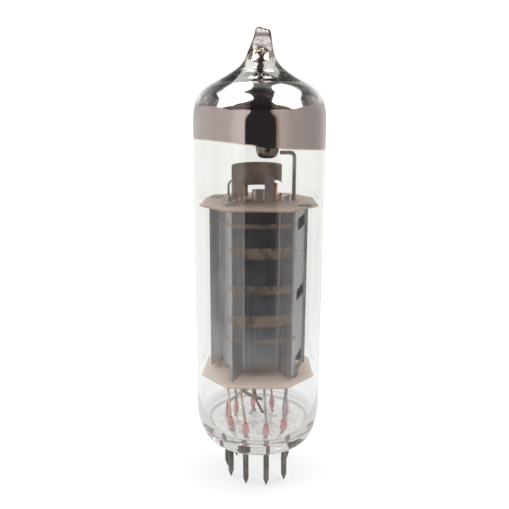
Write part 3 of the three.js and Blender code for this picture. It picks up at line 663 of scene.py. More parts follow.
# ------------------------------------------------------------------ glass envelope
OUTER = [
    (11.0, 6.3), (11.0, 12.0), (11.0, 20.0), (11.0, 30.0), (11.0, 40.0), (11.0, 50.0), (11.0, 54.5), (11.0, 55.8), (10.98, 56.9),
    (10.93, 57.8), (10.84, 58.6), (10.7, 59.35), (10.48, 60.05), (10.16, 60.7), (9.72, 61.32), (9.15, 61.92), (8.45, 62.46),
    (7.6, 62.95), (6.7, 63.4), (5.85, 63.85), (5.0, 64.35), (4.2, 64.88), (3.5, 65.42), (2.95, 65.98), (2.56, 66.55),
    (2.27, 67.15), (2.04, 67.75), (1.82, 68.4), (1.62, 69.05), (1.45, 69.7), (1.31, 70.3), (1.2, 70.8), (1.13, 71.12), (1.0, 71.33),
    (0.75, 71.4),
]
FOOT = [
    (7.1, 0.0), (7.45, 0.04), (7.8, 0.14), (8.05, 0.24), (8.3, 0.29), (8.6, 0.42), (9.0, 0.68), (9.38, 1.02), (9.72, 1.45), (9.98, 1.92),
    (10.2, 2.42), (10.42, 3.0), (10.62, 3.62), (10.78, 4.25), (10.9, 4.9), (10.97, 5.6),
]
INNER = [
    (7.2, 2.6), (7.75, 2.62), (8.25, 2.74), (8.7, 3.0), (9.1, 3.35), (9.48, 3.85), (9.8, 4.5), (10.05, 5.3), (10.22, 6.2), (10.33, 7.2),
    (10.4, 8.6), (10.42, 14.0), (10.42, 24.0), (10.42, 34.0), (10.42, 44.0), (10.42, 54.0), (10.4, 55.8), (10.35, 56.9), (10.25, 57.8),
    (10.1, 58.6), (9.9, 59.3), (9.62, 59.97), (9.26, 60.57), (8.8, 61.12), (8.2, 61.64), (7.45, 62.13), (6.6, 62.56), (5.75, 62.94),
    (4.95, 63.25), (4.2, 63.49), (3.55, 63.7), (3.05, 63.95), (2.7, 64.3), (2.42, 64.8), (2.16, 65.45), (1.86, 66.2), (1.5, 66.95), (1.1, 67.6), (0.7, 68.1), (0.3, 68.4),
]


def tip_warp(x, y, z):
    """The drawn tip leans a little and isn't quite round."""
    if z <= 63.5:
        return (x, y, z)
    f = min(1.0, (z - 63.5) / 7.5)
    t = math.atan2(y, x)
    k = 1 + 0.055 * f * math.sin(2 * t + 1.1) + 0.04 * f * math.sin(3 * t + z * 0.9) + 0.02 * f * math.sin(5 * t - z * 1.7)
    dx, dy = photo(0.52 * f ** 1.3, 0.1 * f)
    return (x * k + dx, y * k + dy, z + (0.22 * f ** 4) * math.cos(t - 2.6))


SEGS = 128
outer_profile = [(0.0, 0.0)] + [(0.35 * i, 0.0) for i in range(1, 20)] + refine(FOOT, 0.12) + refine(OUTER, 0.22)[0:] + [(0.4, 71.41), (0, 71.41)]
clean = []
for q in outer_profile:
    if not clean or abs(q[0] - clean[-1][0]) + abs(q[1] - clean[-1][1]) > 1e-4:
        clean.append((q[0], q[1]))
# the long straight wall needs few rings
outer_profile = [q for i, q in enumerate(clean) if not (13 < q[1] < 53 and int(q[1] * 10) % 40 > 4)]
inner_profile = [(0.0, 2.6)] + [(0.3 * i, 2.6) for i in range(1, 24)] + refine(INNER, 0.22) + [(0, 68.56)]
inner_profile = [q for q in inner_profile if not (13 < q[1] < 53 and int(q[1] * 10) % 40 > 4)]

PINS = {}
for k in range(1, 10):
    t = math.radians(36 * k)
    PINS[k] = (PIN_CIRCLE_R * math.cos(t), PIN_CIRCLE_R * math.sin(t))


def stand(x, y, z, glass=False):
    """The bulb and the works inside it stand very slightly out of true with the base."""
    d = float(np.interp(z, [0, 4, 10, 56, 72], [-0.10, -0.27, -0.27, 0.06, 0.06]))
    w = smooth((z - 5.0) / 4.0)
    if glass:
        w = max(w, smooth((math.hypot(x, y) - 7.0) / 2.5))
    dx, dy = photo(d * w, 0)
    return (x + dx, y + dy, z)


def smooth(t):
    t = min(1.0, max(0.0, t))
    return t * t * (3 - 2 * t)


def raw(name, verts, faces):
    me = bpy.data.meshes.new(name)
    me.from_pydata([(x * MM, y * MM, z * MM) for x, y, z in verts], [], faces)
    ob = bpy.data.objects.new(name, me)
    SCENE.collection.objects.link(ob)
    bm = bmesh.new()
    bm.from_mesh(me)
    bmesh.ops.recalc_face_normals(bm, faces=bm.faces)
    bm.to_mesh(me)
    bm.free()
    return ob


# the hollow, less the glass cones drawn up round each seal
hollow = raw("hollow", *lathe(inner_profile, SEGS, tip_warp))
cones = []
for k, (x, y) in PINS.items():
    lean = rnd.uniform(-0.05, 0.05)
    h = SEAL_TOP - 0.28 + rnd.uniform(-0.12, 0.12)
    prof = refine([(1.25, 2.45), (1.02, 2.66), (0.84, 2.92), (0.70, 3.3), (0.615, 3.8), (0.575, 4.3), (0.52, h - 0.12), (0.36, h)], 0.12)
    cones.append((shift(lathe([(0, 2.1), (1.25, 2.1)] + prof + [(0, h + 0.03)], 20)[0], x + lean, y - lean), lathe([(0, 2.1), (1.25, 2.1)] + prof + [(0, h + 0.03)], 20)[1]))
cone_ob = raw("cones", *joined(cones))
cut = hollow.modifiers.new("cones", "BOOLEAN")
cut.operation, cut.solver, cut.object = "DIFFERENCE", "EXACT", cone_ob
applied(hollow)
bpy.data.objects.remove(cone_ob)
ov, of_ = lathe(outer_profile, SEGS, tip_warp)
hv = [tuple(c / MM for c in v.co) for v in hollow.data.vertices]
hf = [list(reversed(p.vertices)) for p in hollow.data.polygons]
bpy.data.objects.remove(hollow)
skin = raw("skin", ov, of_)
sv = [tuple(c / MM for c in v.co) for v in skin.data.vertices]
sf = [list(p.vertices) for p in skin.data.polygons]
bpy.data.objects.remove(skin)
gv, gf = joined([(sv, sf), (hv, hf)])


def base_waves(x, y, z):
    """Mould ripples on both faces of the pressed base."""
    r = math.hypot(x, y)
    t = math.atan2(y, x)
    if r < 8.2 and 2.25 < z < 3.4:
        z += smooth((3.4 - z) / 0.75) * (0.11 * math.sin(10 * t + 0.8) * smooth((r - 2.5) / 2.5) + 0.09 * math.sin(1.9 * x + 0.6) * math.cos(1.6 * y - 0.4) + 0.05 * math.sin(3.7 * y + 1.3 * x)) * smooth((8.1 - r) / 0.9)
    elif r < 7.9 and z < 0.16:
        z += (0.05 + 0.05 * math.sin(1.7 * x - 0.5) * math.sin(1.5 * y + 0.9) + 0.12 * smooth((3.4 - r) / 1.6)) * smooth((7.3 - r) / 0.9)
    return (x, y, z)


gv = [stand(*base_waves(*v), True) for v in gv]
envelope = build("glass_envelope", gv, gf, M_GLASS, ("glass_bulb", "glass_stem"), "bulb_glass", 30, fix=False)


# ------------------------------------------------------------------ getter film
def offset_profile(profile, d):
    out = []
    for i, (r, z) in enumerate(profile):
        a = profile[max(i - 1, 0)]
        b = profile[min(i + 1, len(profile) - 1)]
        tx, tz = b[0] - a[0], b[1] - a[1]
        L = math.hypot(tx, tz)
        out.append((r - tz / L * d * (1 if True else 0), z + tx / L * d))
    return out


film_line = [q for q in refine(INNER, 0.3) if 50.6 < q[1] < 68.2]
face = offset_profile(film_line, -0.03)
back = offset_profile(film_line, 0.03)
fv, ff = [], []
FS = 128


EDGE_POINTS = [(-180, 52.9), (-140, 53.5), (-90, 54.05), (-42, 54.25), (-14, 53.95), (2, 53.5), (16, 53.1), (42, 52.85), (90, 52.13), (140, 52.4), (180, 52.9)]
edge_t = np.linspace(-180, 180, 361)
edge_z = np.interp(edge_t, [p[0] for p in EDGE_POINTS], [p[1] for p in EDGE_POINTS])
edge_z = np.convolve(np.concatenate([edge_z[-13:-1], edge_z, edge_z[1:13]]), np.ones(25) / 25, "valid")
EDGE = (edge_t, edge_z)


def film_edge(x, y):
    px, py = turn((x, y), -PHOTO_TURN)
    t = math.degrees(math.atan2(px, -py))
    return float(np.interp(t, *EDGE)) + 0.03 * math.sin(math.radians(5 * t))


columns = []
for i in range(FS):
    t = 2 * math.pi * i / FS
    c, s = math.cos(t), math.sin(t)
    edge = film_edge(10.1 * c, 10.1 * s)
    span_lo = edge
    zs = [q[1] for q in face]
    hi = zs[-1]
    col = []
    for j in range(len(face)):
        f = j / (len(face) - 1)
        zt = span_lo + (hi - span_lo) * f
        r1 = np.interp(zt, [q[1] for q in face], [q[0] for q in face])
        r2 = np.interp(zt, [q[1] for q in back], [q[0] for q in back])
        col.append((r1, r2, zt))
    columns.append((c, s, col))
m_rows = len(face)
edge_value = []
for layer in (0, 1):
    for c, s, col in columns:
        for j, (r1, r2, zt) in enumerate(col):
            r = r1 if layer == 0 else r2
            fv.append(tip_warp(r * c, r * s, zt))
            edge_value.append((zt - col[0][2]) / 1.1)
for i in range(FS):
    i2 = (i + 1) % FS
    for j in range(m_rows - 1):
        a, b = i * m_rows + j, i2 * m_rows + j
        ff.append([a, b, b + 1, a + 1])
        o = FS * m_rows
        ff.append([o + a, o + a + 1, o + b + 1, o + b])
    for j in (0, m_rows - 1):
        a, b, o = i * m_rows + j, i2 * m_rows + j, FS * m_rows
        ff.append([a, o + a, o + b, b] if j == 0 else [a, b, o + b, o + a])
fv = [stand(*v, True) for v in fv]
film = build("getter_mirror", fv, ff, M_FILM, "getter_film", "getter_film", 60)
att = film.data.attributes.new("edge", "FLOAT", "POINT")
vals = []
for v in film.data.vertices:
    x, y, z = (c / MM for c in v.co)
    vals.append((z - film_edge(x * 10.1 / max(math.hypot(x, y), 1e-6), y * 10.1 / max(math.hypot(x, y), 1e-6))) / 0.55)
att.data.foreach_set("value", np.array(vals, np.float32))

# ------------------------------------------------------------------ pins, seals, leads
for k, (x, y) in PINS.items():
    lean = (rnd.uniform(-0.05, 0.05), rnd.uniform(-0.05, 0.05))
    tipr = rnd.uniform(0.10, 0.16)
    prof = [(0, -PIN_BELOW)] + refine([(tipr * 0.7, -PIN_BELOW + 0.02), (tipr, -PIN_BELOW + 0.1), (0.30, -PIN_BELOW + 0.6), (0.45, -PIN_BELOW + 1.02),
                                      (PIN_R - 0.01, -PIN_BELOW + 1.3), (PIN_R, -PIN_BELOW + 1.7)], 0.1) + \
        [(PIN_R, z) for z in (-4.6, -3.7, -2.8, -1.9, -1.0, -0.35, 0.0)] + refine([(PIN_R - 0.02, 0.15), (0.38, 0.5), (0.31, PIN_IN_GLASS), (0.28, 1.5), (0.26, 1.9), (0.18, 2.08)], 0.12) + [(0, 2.1)]

    def pin_warp(px, py, pz, x=x, y=y, lean=lean, k=k):
        f = max(0.0, -pz) / PIN_BELOW
        w = 1 + 0.012 * math.sin(pz * 2.3 + k) + 0.01 * math.sin(5 * math.atan2(py, px) + k)
        return (px * w + x + lean[0] * f, py * w + y + lean[1] * f, pz)

    build(f"pin_{k}", *lathe(prof, 24, pin_warp), M_PIN, f"base_pin_{k}", "pin_metal", 50)
    q = 1.0 if y < -1.5 else 0.72
    top = SEAL_TOP + rnd.uniform(-0.12, 0.12)
    sp = [(0, 2.12)] + refine([(0.26 * q, 2.13), (0.40 * q, 2.3), (0.42 * q, 2.9), (0.37 * q, 3.6), (0.33 * q, top - 0.22), (0.28 * q, top - 0.06), (0.2 * q, top)], 0.2) + [(0, top + 0.01)]
    build(f"seal_{k}", *lathe(sp, 18, lambda a, b, c, x=x, y=y: (a + x, b + y, c)), M_SEAL, f"seal_wire_{k}", "seal_wire", 50)

Z0 = SEAL_TOP - 0.22
hl, hr = cage(-0.62, 0), cage(0.62, 0)


def P(k, z=Z0):
    return (PINS[k][0], PINS[k][1], z)


def at(xy, z):
    return (xy[0], xy[1], z)


LEADS = {
    1: ([P(1), P(1, 7.5), (5.15, 3.3, 12.95)], 0.22),
    2: ([P(2), P(2, 8.6), at(cage(2.72, 0.75), 10.6), at(cage(2.72, 0.62), 12.9)], 0.2),
    3: ([P(3), P(3, 8.4), (-1.15, 3.4, 10.4), at(cage(-0.35, 1.2), 12.7)], 0.2),
    4: ([P(4), P(4, 7.6), (-2.4, 1.9, 9.4), (hl[0] - 0.35, hl[1] + 0.35, 10.9)], 0.24),
    5: ([P(5), P(5, 5.7), (-4.7, -0.6, 7.1), (-3.3, -1.2, 8.5), (hr[0] - 0.55, hr[1] - 0.95, 10.4), (hr[0] - 0.1, hr[1] - 0.45, 11.0)], 0.24),
    6: ([P(6), (-5.05, -3.5, 12.95)], 0.24),
    7: ([P(7), (-2.62, -5.35, 12.85)], 0.24),
    8: ([P(8), (1.62, -5.55, 12.95)], 0.24),
    9: ([P(9), P(9, 6.4), (5.55, -3.3, 12.85)], 0.32),
}
for k, (path, r) in LEADS.items():
    build(f"lead_{k}", *wire(bend_path(path, 0.75), r), M_TINTED.get(k, M_LEAD), f"inner_lead_{k}", "lead_nickel", 60)


# ------------------------------------------------------------------ mica spacers
MICA = [(4.95, 8.98), (-4.95, 8.98), (-9.56, 3.76), (-9.56, -3.76), (-4.95, -8.98), (4.95, -8.98), (9.56, -3.76), (9.56, 3.76)]
PANEL_R = ((5.02, -7.59), (7.88, -0.5))
PANEL_L = ((-5.02, -7.59), (-6.57, -0.45))
TAB_HALF = 1.25
TABS = ((PANEL_R, 0.44, 1.9, True), (PANEL_L, 0.55, 2.4, False))   # panel, place along it, flap length, also through the lower mica
WIRE_FOOT = (5.79, 1.71)
HOOK_FOOT = photo(-5.36, 3.02)


def along(panel, t):
    a, b = panel
    return (a[0] + (b[0] - a[0]) * t, a[1] + (b[1] - a[1]) * t)


def heading(panel):
    a, b = panel
    return math.atan2(b[1] - a[1], b[0] - a[0])


def mica_outline():
    out = []
    n = len(MICA)
    for i in range(n):
        a, b, c = Vector(MICA[i - 1]), Vector(MICA[i]), Vector(MICA[(i + 1) % n])
        r = 0.35
        p, q = b + (a - b).normalized() * r, b + (c - b).normalized() * r
        for k in range(5):
            t = k / 4
            w = p * (1 - t) ** 2 + b * (2 * t * (1 - t)) + q * t * t
            out.append((w.x, w.y))
        m = 7
        q2 = c + (b - c).normalized() * r
        for k in range(1, m):
            w = q.lerp(q2, k / m)
            d = (c - b).normalized()
            j = rnd.uniform(-0.035, 0.035)
            out.append((w.x - d.y * j, w.y + d.x * j))
    return [turn(p, MICA_TURN) for p in out]


def mica_holes(upper):
    holes = []
    for g in GRIDS.values():
        for s in (-1, 1):
            c = cage(s * g["rodX"], 0)
            holes.append([(c[0] + u, c[1] + v) for u, v in ring(g["rodR"] + 0.07, 20)])
    holes.append([cage(x, y) for x, y in oval(1.3, 0.76, 28)])
    for (panel, place, _, low), flip in [(t, f) for t in TABS for f in (1, -1)]:
        if not (upper or low):
            continue
        c, ang = along(panel, place), heading(panel)
        co, si = math.cos(ang), math.sin(ang)
        h = [(-TAB_HALF - 0.08, -0.17), (TAB_HALF + 0.08, -0.17), (TAB_HALF + 0.08, 0.17), (-TAB_HALF - 0.08, 0.17)]
        holes.append([cage(flip * (c[0] + u * co - v * si), flip * (c[1] + u * si + v * co)) for u, v in h])
    if upper:
        for foot, r in ((WIRE_FOOT, 0.42), (HOOK_FOOT, 0.3)):
            holes.append([(foot[0] + u, foot[1] + v) for u, v in ring(r, 18)])
    return holes


def oval(a, b, n):
    out = []
    for i in range(n):
        t = 2 * math.pi * (i + 0.5) / n
        c, s = math.cos(t), math.sin(t)
        out.append((a * math.copysign(abs(c) ** 0.7, c), b * math.copysign(abs(s) ** 0.7, s)))
    return out


for name, z, upper in (("lower_mica", LOWER_MICA_Z, False), ("upper_mica", UPPER_MICA_Z, True)):
    ob = from_curve(name + "_plate", mica_outline(), mica_holes(upper), z, MICA_T, 0.035)
    settle(ob, M_MICA, 30)
    adopt(ob, name)

# ------------------------------------------------------------------ anode halves
ANODE_LINE = [(-8.35, -0.14), (-6.75, -0.14), (-6.57, -0.45), (-5.02, -7.59), (-3.04, -4.6), (3.04, -4.6), (5.02, -7.59), (7.88, -0.5), (8.1, -0.14), (8.45, -0.14)]


def anode_half():
    """The bent sheet as columns along the section and rows up the height; anode_piece thickens it."""
    corner_r = [0, 0.12, 0.12, 0.22, 0.3, 0.3, 0.22, 0.15, 0.12, 0]
    v = [Vector(p) for p in ANODE_LINE]
    pts, tag = [v[0].copy()], [0.0]
    for i in range(1, len(v) - 1):
        a, b = v[i - 1] - v[i], v[i + 1] - v[i]
        r = min(corner_r[i], a.length / 2.1, b.length / 2.1)
        p, q = v[i] + a.normalized() * r, v[i] + b.normalized() * r
        for k in range(5):
            t = k / 4
            pts.append(p * (1 - t) ** 2 + v[i] * (2 * t * (1 - t)) + q * t * t)
            tag.append(i - 0.001 + 0.0005 * k)
    pts.append(v[-1].copy())
    tag.append(len(v) - 1.0)
    # extra columns on the long runs, with exact ones at window and tab edges
    fr_R = {0.1, 0.25, 0.34, 0.44, 0.52, 0.68, 0.8, 0.93}
    fr_L = {0.1, 0.2, 0.36, 0.45, 0.54, 0.75, 0.88}
    cols = []
    for i in range(len(pts) - 1):
        a, b = pts[i], pts[i + 1]
        cols.append((a, tag[i]))
        lead = int(round(tag[i]))
        if (b - a).length > 1.2:
            seg0 = v[lead]
            seg1 = v[lead + 1]
            if lead == 6:
                fr = sorted(fr_R)
            elif lead == 2:
                fr = sorted(fr_L)
            else:
                fr = [j / 8 for j in range(1, 8)]
            for f in fr:
                w = seg0.lerp(seg1, f)
                cols.append((w, lead + f))
    cols.append((pts[-1], tag[-1]))
    # the tabs' edges on the two side panels
    extra = []
    spots = []
    for lead, (panel, place, flap, low) in ((6, TABS[0]), (2, TABS[1])):
        A, B = Vector(panel[0]), Vector(panel[1])
        if lead == 2:
            A, B, place = B, A, 1 - place
        L = (B - A).length
        spots.append((lead, A, B, L, place, flap, low))
        for s in (-1, 1):
            f = place + s * TAB_HALF / L
            extra.append((A.lerp(B, f), lead + f))
    cols += extra
    cols.sort(key=lambda c: c[1])
    xy = [c[0] for c in cols]
    tags = [c[1] for c in cols]
    # four rows follow the lower edge, the rest are level
    low_rows = [0.0, 0.25, 0.55]
    zs = [None] * len(low_rows) + [15.0, 15.6, 16.0, 16.6, 17.3, 18.5, 20.5, 22.5, 24.5, 26.5, 27.5, 28.4, 29.4, 31, 33, 35, 37, 38.5, 39.6, 40.6, 41.6, 42.3, ANODE_Z1]
    n, m = len(xy), len(zs)
    verts, faces = [], []
    normals = []
    for i in range(n):
        d = (xy[min(i + 1, n - 1)] - xy[max(i - 1, 0)]).normalized()
        normals.append(Vector((d.y, -d.x)))

    def lower_edge(t):
        if t < 2.0:
            return 14.3
        if t < 3.02:
            return ANODE_Z0
        if t < 3.98:
            return ANODE_Z0 + 0.42 * (t - 3.02) / 0.96
        if t < 5.02:
            return ANODE_Z0 + 0.42
        if t < 5.45:
            return ANODE_Z0 + 0.42 - 0.3 * smooth((t - 5.02) / 0.3)
        if t < 5.998:
            return ANODE_Z0 + 0.12 + 0.55 * smooth((t - 5.45) / 0.55) ** 2
        if t < 6.32:
            return ANODE_Z0 + 0.67 - 0.62 * smooth((t - 5.998) / 0.3)
        return ANODE_Z0

    for i in range(n):
        t = tags[i]
        lo = lower_edge(t)
        for j in range(m):
            zz = lo + (15.0 - lo) * low_rows[j] if j < len(low_rows) else zs[j]
            wob = 0.03 * math.sin(zz * 0.55 + t * 2.1) + 0.018 * math.sin(zz * 1.3 + t * 5.0)
            wob *= min(1.0, (zz - 13.9) / 2.0, (43.1 - zz) / 2.0) if 13.9 < zz < 43.1 else 0.0
            nn = normals[i]
            verts.append((xy[i].x + nn.x * wob, xy[i].y + nn.y * wob, zz))
    zs = [ANODE_Z0 + (15.0 - ANODE_Z0) * f for f in low_rows] + zs[len(low_rows):]
    for i in range(n - 1):
        tm = (tags[i] + tags[i + 1]) / 2
        for j in range(m - 1):
            zm = (zs[j] + zs[j + 1]) / 2
            window = 6.25 < tm < 6.93 and any(a < zm < b for a, b in ((15.0, 17.3), (27.5, 29.4), (39.6, 41.6)))
            notch = 2.0 < tm < 2.88 and zm < 16.0
            if window or notch:
                continue
            faces.append([i * m + j, (i + 1) * m + j, (i + 1) * m + j + 1, i * m + j + 1])
    # tabs through the micas, folded flat towards +x of the sheet
    for lead, A, B, L, place, flap, low in spots:
        lo, hi = lead + place - TAB_HALF / L - 1e-6, lead + place + TAB_HALF / L + 1e-6
        inside = [i for i in range(n) if lo <= tags[i] <= hi]
        d = (B - A).normalized()
        out = Vector((d.y, -d.x))
        if out.x < 0:
            out = -out
        for end in (1, -1):
            if end == 1:
                rows = [(0.0, TOP - 0.08), (0.0, TOP + 0.04), (0.04, TOP + 0.12), (0.14, TOP + 0.16), (flap * 0.5, TOP + 0.17), (flap, TOP + 0.14)]
                base = [i * m + (m - 1) for i in inside]
            else:
                if not low:
                    continue
                zb = LOWER_MICA_Z
                rows = [(0.0, zb + 0.08), (0.0, zb - 0.04), (0.04, zb - 0.12), (0.14, zb - 0.16), (0.85, zb - 0.15)]
                base = [i * m for i in inside]
            prev = base
            for k, (o, z) in enumerate(rows):
                cur = []
                for i in inside:
                    cur.append(len(verts))
                    verts.append((xy[i].x + out.x * o, xy[i].y + out.y * o, z))
                for a in range(len(inside) - 1):
                    q = [prev[a], prev[a + 1], cur[a + 1], cur[a]]
                    faces.append(q if end == 1 else q[::-1])
                prev = cur
    return verts, faces


def anode_piece(name, node, flip):
    v, f = anode_half()
    v = [(*cage(flip * x, flip * y), z) for x, y, z in v]
    me = bpy.data.meshes.new(name)
    me.from_pydata([(x * MM, y * MM, z * MM) for x, y, z in v], [], f)
    ob = bpy.data.objects.new(name, me)
    SCENE.collection.objects.link(ob)
    bm = bmesh.new()
    bm.from_mesh(me)
    loose = [w for w in bm.verts if not w.link_faces]
    bmesh.ops.delete(bm, geom=loose, context="VERTS")
    bmesh.ops.recalc_face_normals(bm, faces=bm.faces)
    bm.to_mesh(me)
    bm.free()
    s = ob.modifiers.new("sheet", "SOLIDIFY")
    s.thickness, s.offset, s.use_even_offset = ANODE_T * MM, 0, False
    b = ob.modifiers.new("edge", "BEVEL")
    b.width, b.segments, b.limit_method, b.angle_limit = 0.03 * MM, 2, "ANGLE", math.radians(60)
    applied(ob)
    settle(ob, M_ANODE, 32)
    adopt(ob, node)
    return ob


anode_piece("anode_front", "anode_front_half", 1)
anode_piece("anode_rear", "anode_rear_half", -1)

# ------------------------------------------------------------------ grids
for name, g in GRIDS.items():
    mat = M_NICKEL if name == "suppressor" else M_COPPER
    slot = "nickel" if name == "suppressor" else "grid_rod"
    for s, side in ((-1, "left"), (1, "right")):
        x, y = cage(s * g["rodX"], 0)
        build(f"{name}_rod_{side}", *wire([(x, y, g["rodZ0"]), (x, y, 28.0), (x, y, g["rodZ1"])], g["rodR"], 20), mat, f"{name}_grid_rod_{side}", slot, 60)
    per, pts = 20, []
    for i in range(g["turns"] * per + 1):
        t = 2 * math.pi * (i + 0.5) / per
        x, y = cage(g["a"] * math.cos(t), g["b"] * math.sin(t))
        pts.append((x, y, g["z0"] + (g["z1"] - g["z0"]) * i / (g["turns"] * per)))
    build(f"{name}_winding", *sweep(pts, ring(g["wire"], 5)), M_GRIDWIRE, f"{name}_grid_winding", "grid_wire", 80)


# ------------------------------------------------------------------ cathode and heater
def sleeve():
    z0, z1 = 12.3, 45.5
    out_, in_ = [cage(x, y) for x, y in oval(1.2, 0.66, 40)], [cage(x, y) for x, y in oval(1.07, 0.53, 40)]
    zs = [z0, z0 + 0.05, 13.0, 14.0, 15.0, 20, 28, 36, 41.5, 42.4, 44.0, z1 - 0.05, z1]
    verts, faces, k = [], [], 40
    loops = []
    for z in zs:
        loops.append(range(len(verts), len(verts) + k))
        lip = 0.985 if z in (z0, z1) else 1.0
        bead = 1.05 if z in (14.0, 42.4) else 1.0
        verts += [(x * lip * bead, y * lip * bead, z) for x, y in out_]
    for z in reversed(zs):
        loops.append(range(len(verts), len(verts) + k))
        verts += [(x, y, z) for x, y in in_]
    for a, b in zip(loops, loops[1:] + loops[:1]):
        for i in range(k):
            j = (i + 1) % k
            faces.append([a[i], a[j], b[j], b[i]])
    return verts, faces


build("cathode_tube", *sleeve(), M_SLEEVE, "cathode_sleeve", "cathode", 50)
hp = bend_path([(-0.75, 0, 11.2), (-0.75, 0, 42.6), (-0.25, 0, 42.6), (-0.25, 0, 14.0), (0.25, 0, 14.0), (0.25, 0, 42.6), (0.75, 0, 42.6), (0.75, 0, 11.2)], 0.24, 5)
build("heater_wire", *wire([(*cage(p.x, p.y), p.z) for p in hp], 0.17, 10), M_HEATER, "heater", "heater_coat", 70)


# ------------------------------------------------------------------ straps
def ribbon(points, width, thickness, up=(0, 0, 1)):
    """A flat strap along a path; its width stays square to the path and to the given direction."""
    v = [Vector(p) for p in points]
    verts, faces = [], []
    n = len(v)
    c = thickness * 0.25
    sec = [(-width / 2 + c, -thickness / 2), (width / 2 - c, -thickness / 2), (width / 2, 0), (width / 2 - c, thickness / 2), (-width / 2 + c, thickness / 2), (-width / 2, 0)]
    for i in range(n):
        t = (v[min(i + 1, n - 1)] - v[max(i - 1, 0)]).normalized()
        nrm = (Vector(up) - t * t.dot(Vector(up))).normalized()
        side = t.cross(nrm)
        for a, b in sec:
            p = v[i] + side * a + nrm * b
            verts.append((p.x, p.y, p.z))
    k = len(sec)
    for i in range(n - 1):
        for j in range(k):
            faces.append([i * k + j, i * k + (j + 1) % k, (i + 1) * k + (j + 1) % k, (i + 1) * k + j])
    faces.append(list(range(k))[::-1])
    faces.append([(n - 1) * k + j for j in range(k)])
    return verts, faces


build("strap_anode", *ribbon(bend_path([(-2.5, -5.05, 11.35), (-1.1, -4.9, 10.2), (1.35, -5.15, 9.5)], 0.6), 0.58, 0.12, (0, -1, 0.75)), M_LEAD, "anode_strap", "nickel", 40)
build("strap_cathode", *ribbon(bend_path([(-1.5, 5.2, 7.2), (-0.5, 0.2, 6.6), (1.3, -5.15, 6.9)], 0.9), 0.55, 0.12, (0.35, -0.3, 1)), M_BROWN, "cathode_strap", "grid_rod", 40)
build("strap_suppressor", *ribbon([at(cage(5.08, -0.62), 12.7), at(cage(3.0, -1.25), 12.7), at(cage(0.6, -1.05), 12.7)], 0.6, 0.12), M_NICKEL, "suppressor_strap", "nickel", 40)

# ------------------------------------------------------------------ radiator above the top mica
RAD = [(-4.48, -2.5), (-4.32, -0.3), (-3.6, 1.35), (-2.4, 2.4), (-0.9, 2.95), (0.75, 3.0), (2.3, 2.2), (3.4, 0.8), (3.68, -1.0)]


def radiator():
    line = [photo(*p) for p in [(q[0], q[1]) for q in refine(RAD, 0.25)]]
    xs = [turn(p, -PHOTO_TURN)[0] for p in line]
    zb, zt = TOP + 0.35, 49.85
    zs = [zb, 44.6, 45.3, 45.9, 46.3, 46.9, 47.6, 48.4, 49.2, zt]
    n, m = len(line), len(zs)
    verts, faces = [], []
    for i in range(n):
        for j, z in enumerate(zs):
            verts.append((line[i][0], line[i][1], z))
    for i in range(n - 1):
        x = (xs[i] + xs[i + 1]) / 2
        y = (turn(line[i], -PHOTO_TURN)[1] + turn(line[i + 1], -PHOTO_TURN)[1]) / 2
        for j in range(m - 1):
            z = (zs[j] + zs[j + 1]) / 2
            if y > 0.9 and x > -1.95 and z < 45.9:
                continue
            if x > 2.6 and z < 46.9:
                continue
            faces.append([i * m + j, (i + 1) * m + j, (i + 1) * m + j + 1, i * m + j + 1])
    me = bpy.data.meshes.new("radiator_sheet")
    me.from_pydata([(x * MM, y * MM, z * MM) for x, y, z in verts], [], faces)
    ob = bpy.data.objects.new("radiator_sheet", me)
    SCENE.collection.objects.link(ob)
    bm = bmesh.new()
    bm.from_mesh(me)
    bmesh.ops.delete(bm, geom=[w for w in bm.verts if not w.link_faces], context="VERTS")
    bm.to_mesh(me)
    bm.free()
    s = ob.modifiers.new("sheet", "SOLIDIFY")
    s.thickness, s.offset, s.use_even_offset = 0.16 * MM, 0, False
    b = ob.modifiers.new("edge", "BEVEL")
    b.width, b.segments, b.limit_method, b.angle_limit = 0.03 * MM, 2, "ANGLE", math.radians(60)
    applied(ob)
    settle(ob, M_RADIATOR, 35)
    adopt(ob, "grid_radiator")


radiator()
sx0, sy = photo(1.58, -2.51)
tx, ty = photo(1, 0)
strap_v, strap_f = [], []
strap_pts = [at(photo(1.55, -2.56), 43.98), at(photo(1.57, -2.52), 45.0), at(photo(1.6, -2.5), 46.5), at(photo(1.62, -2.5), 48.1)]
build("strap_radiator", *ribbon(split_path(strap_pts, 0.5), 1.42, 0.16, photo(0, -1) + (0,)), M_STRAP, "radiator_strap", "radiator", 40)
hf = HOOK_FOOT
build("hook_wire", *wire(bend_path([at(hf, 42.7), at(hf, 46.2), (hf[0] + 0.9, hf[1] - 0.3, 46.9)], 0.8), 0.2), M_LEAD, "mica_hook", "lead_nickel", 60)

# ------------------------------------------------------------------ getter
CUP = photo(1.33, 1.0)
build("getter_wire", *wire(bend_path([at(WIRE_FOOT, 42.5), at(WIRE_FOOT, 51.65), (CUP[0] + 2.1, CUP[1] + 0.05, 51.65)], 1.0, 10), 0.33, 20), M_LEAD, "getter_support_wire", "lead_nickel", 60)
cup_prof = [(0, 50.75)] + refine([(0.6, 50.75), (1.1, 50.78), (1.45, 50.95), (1.72, 51.3), (1.88, 51.8), (1.95, 52.3), (1.99, 52.72)], 0.12) + [(1.96, 52.78), (1.9, 52.72)] + \
    refine([(1.86, 52.3), (1.78, 51.85), (1.62, 51.4), (1.36, 51.07), (1.05, 50.92), (0.6, 50.88)], 0.12) + [(0, 50.88)]
build("getter_pan", *lathe(cup_prof, 48, lambda a, b, c: (a + CUP[0], b + CUP[1], c)), M_GETTER, "getter_cup", "getter_metal", 40)


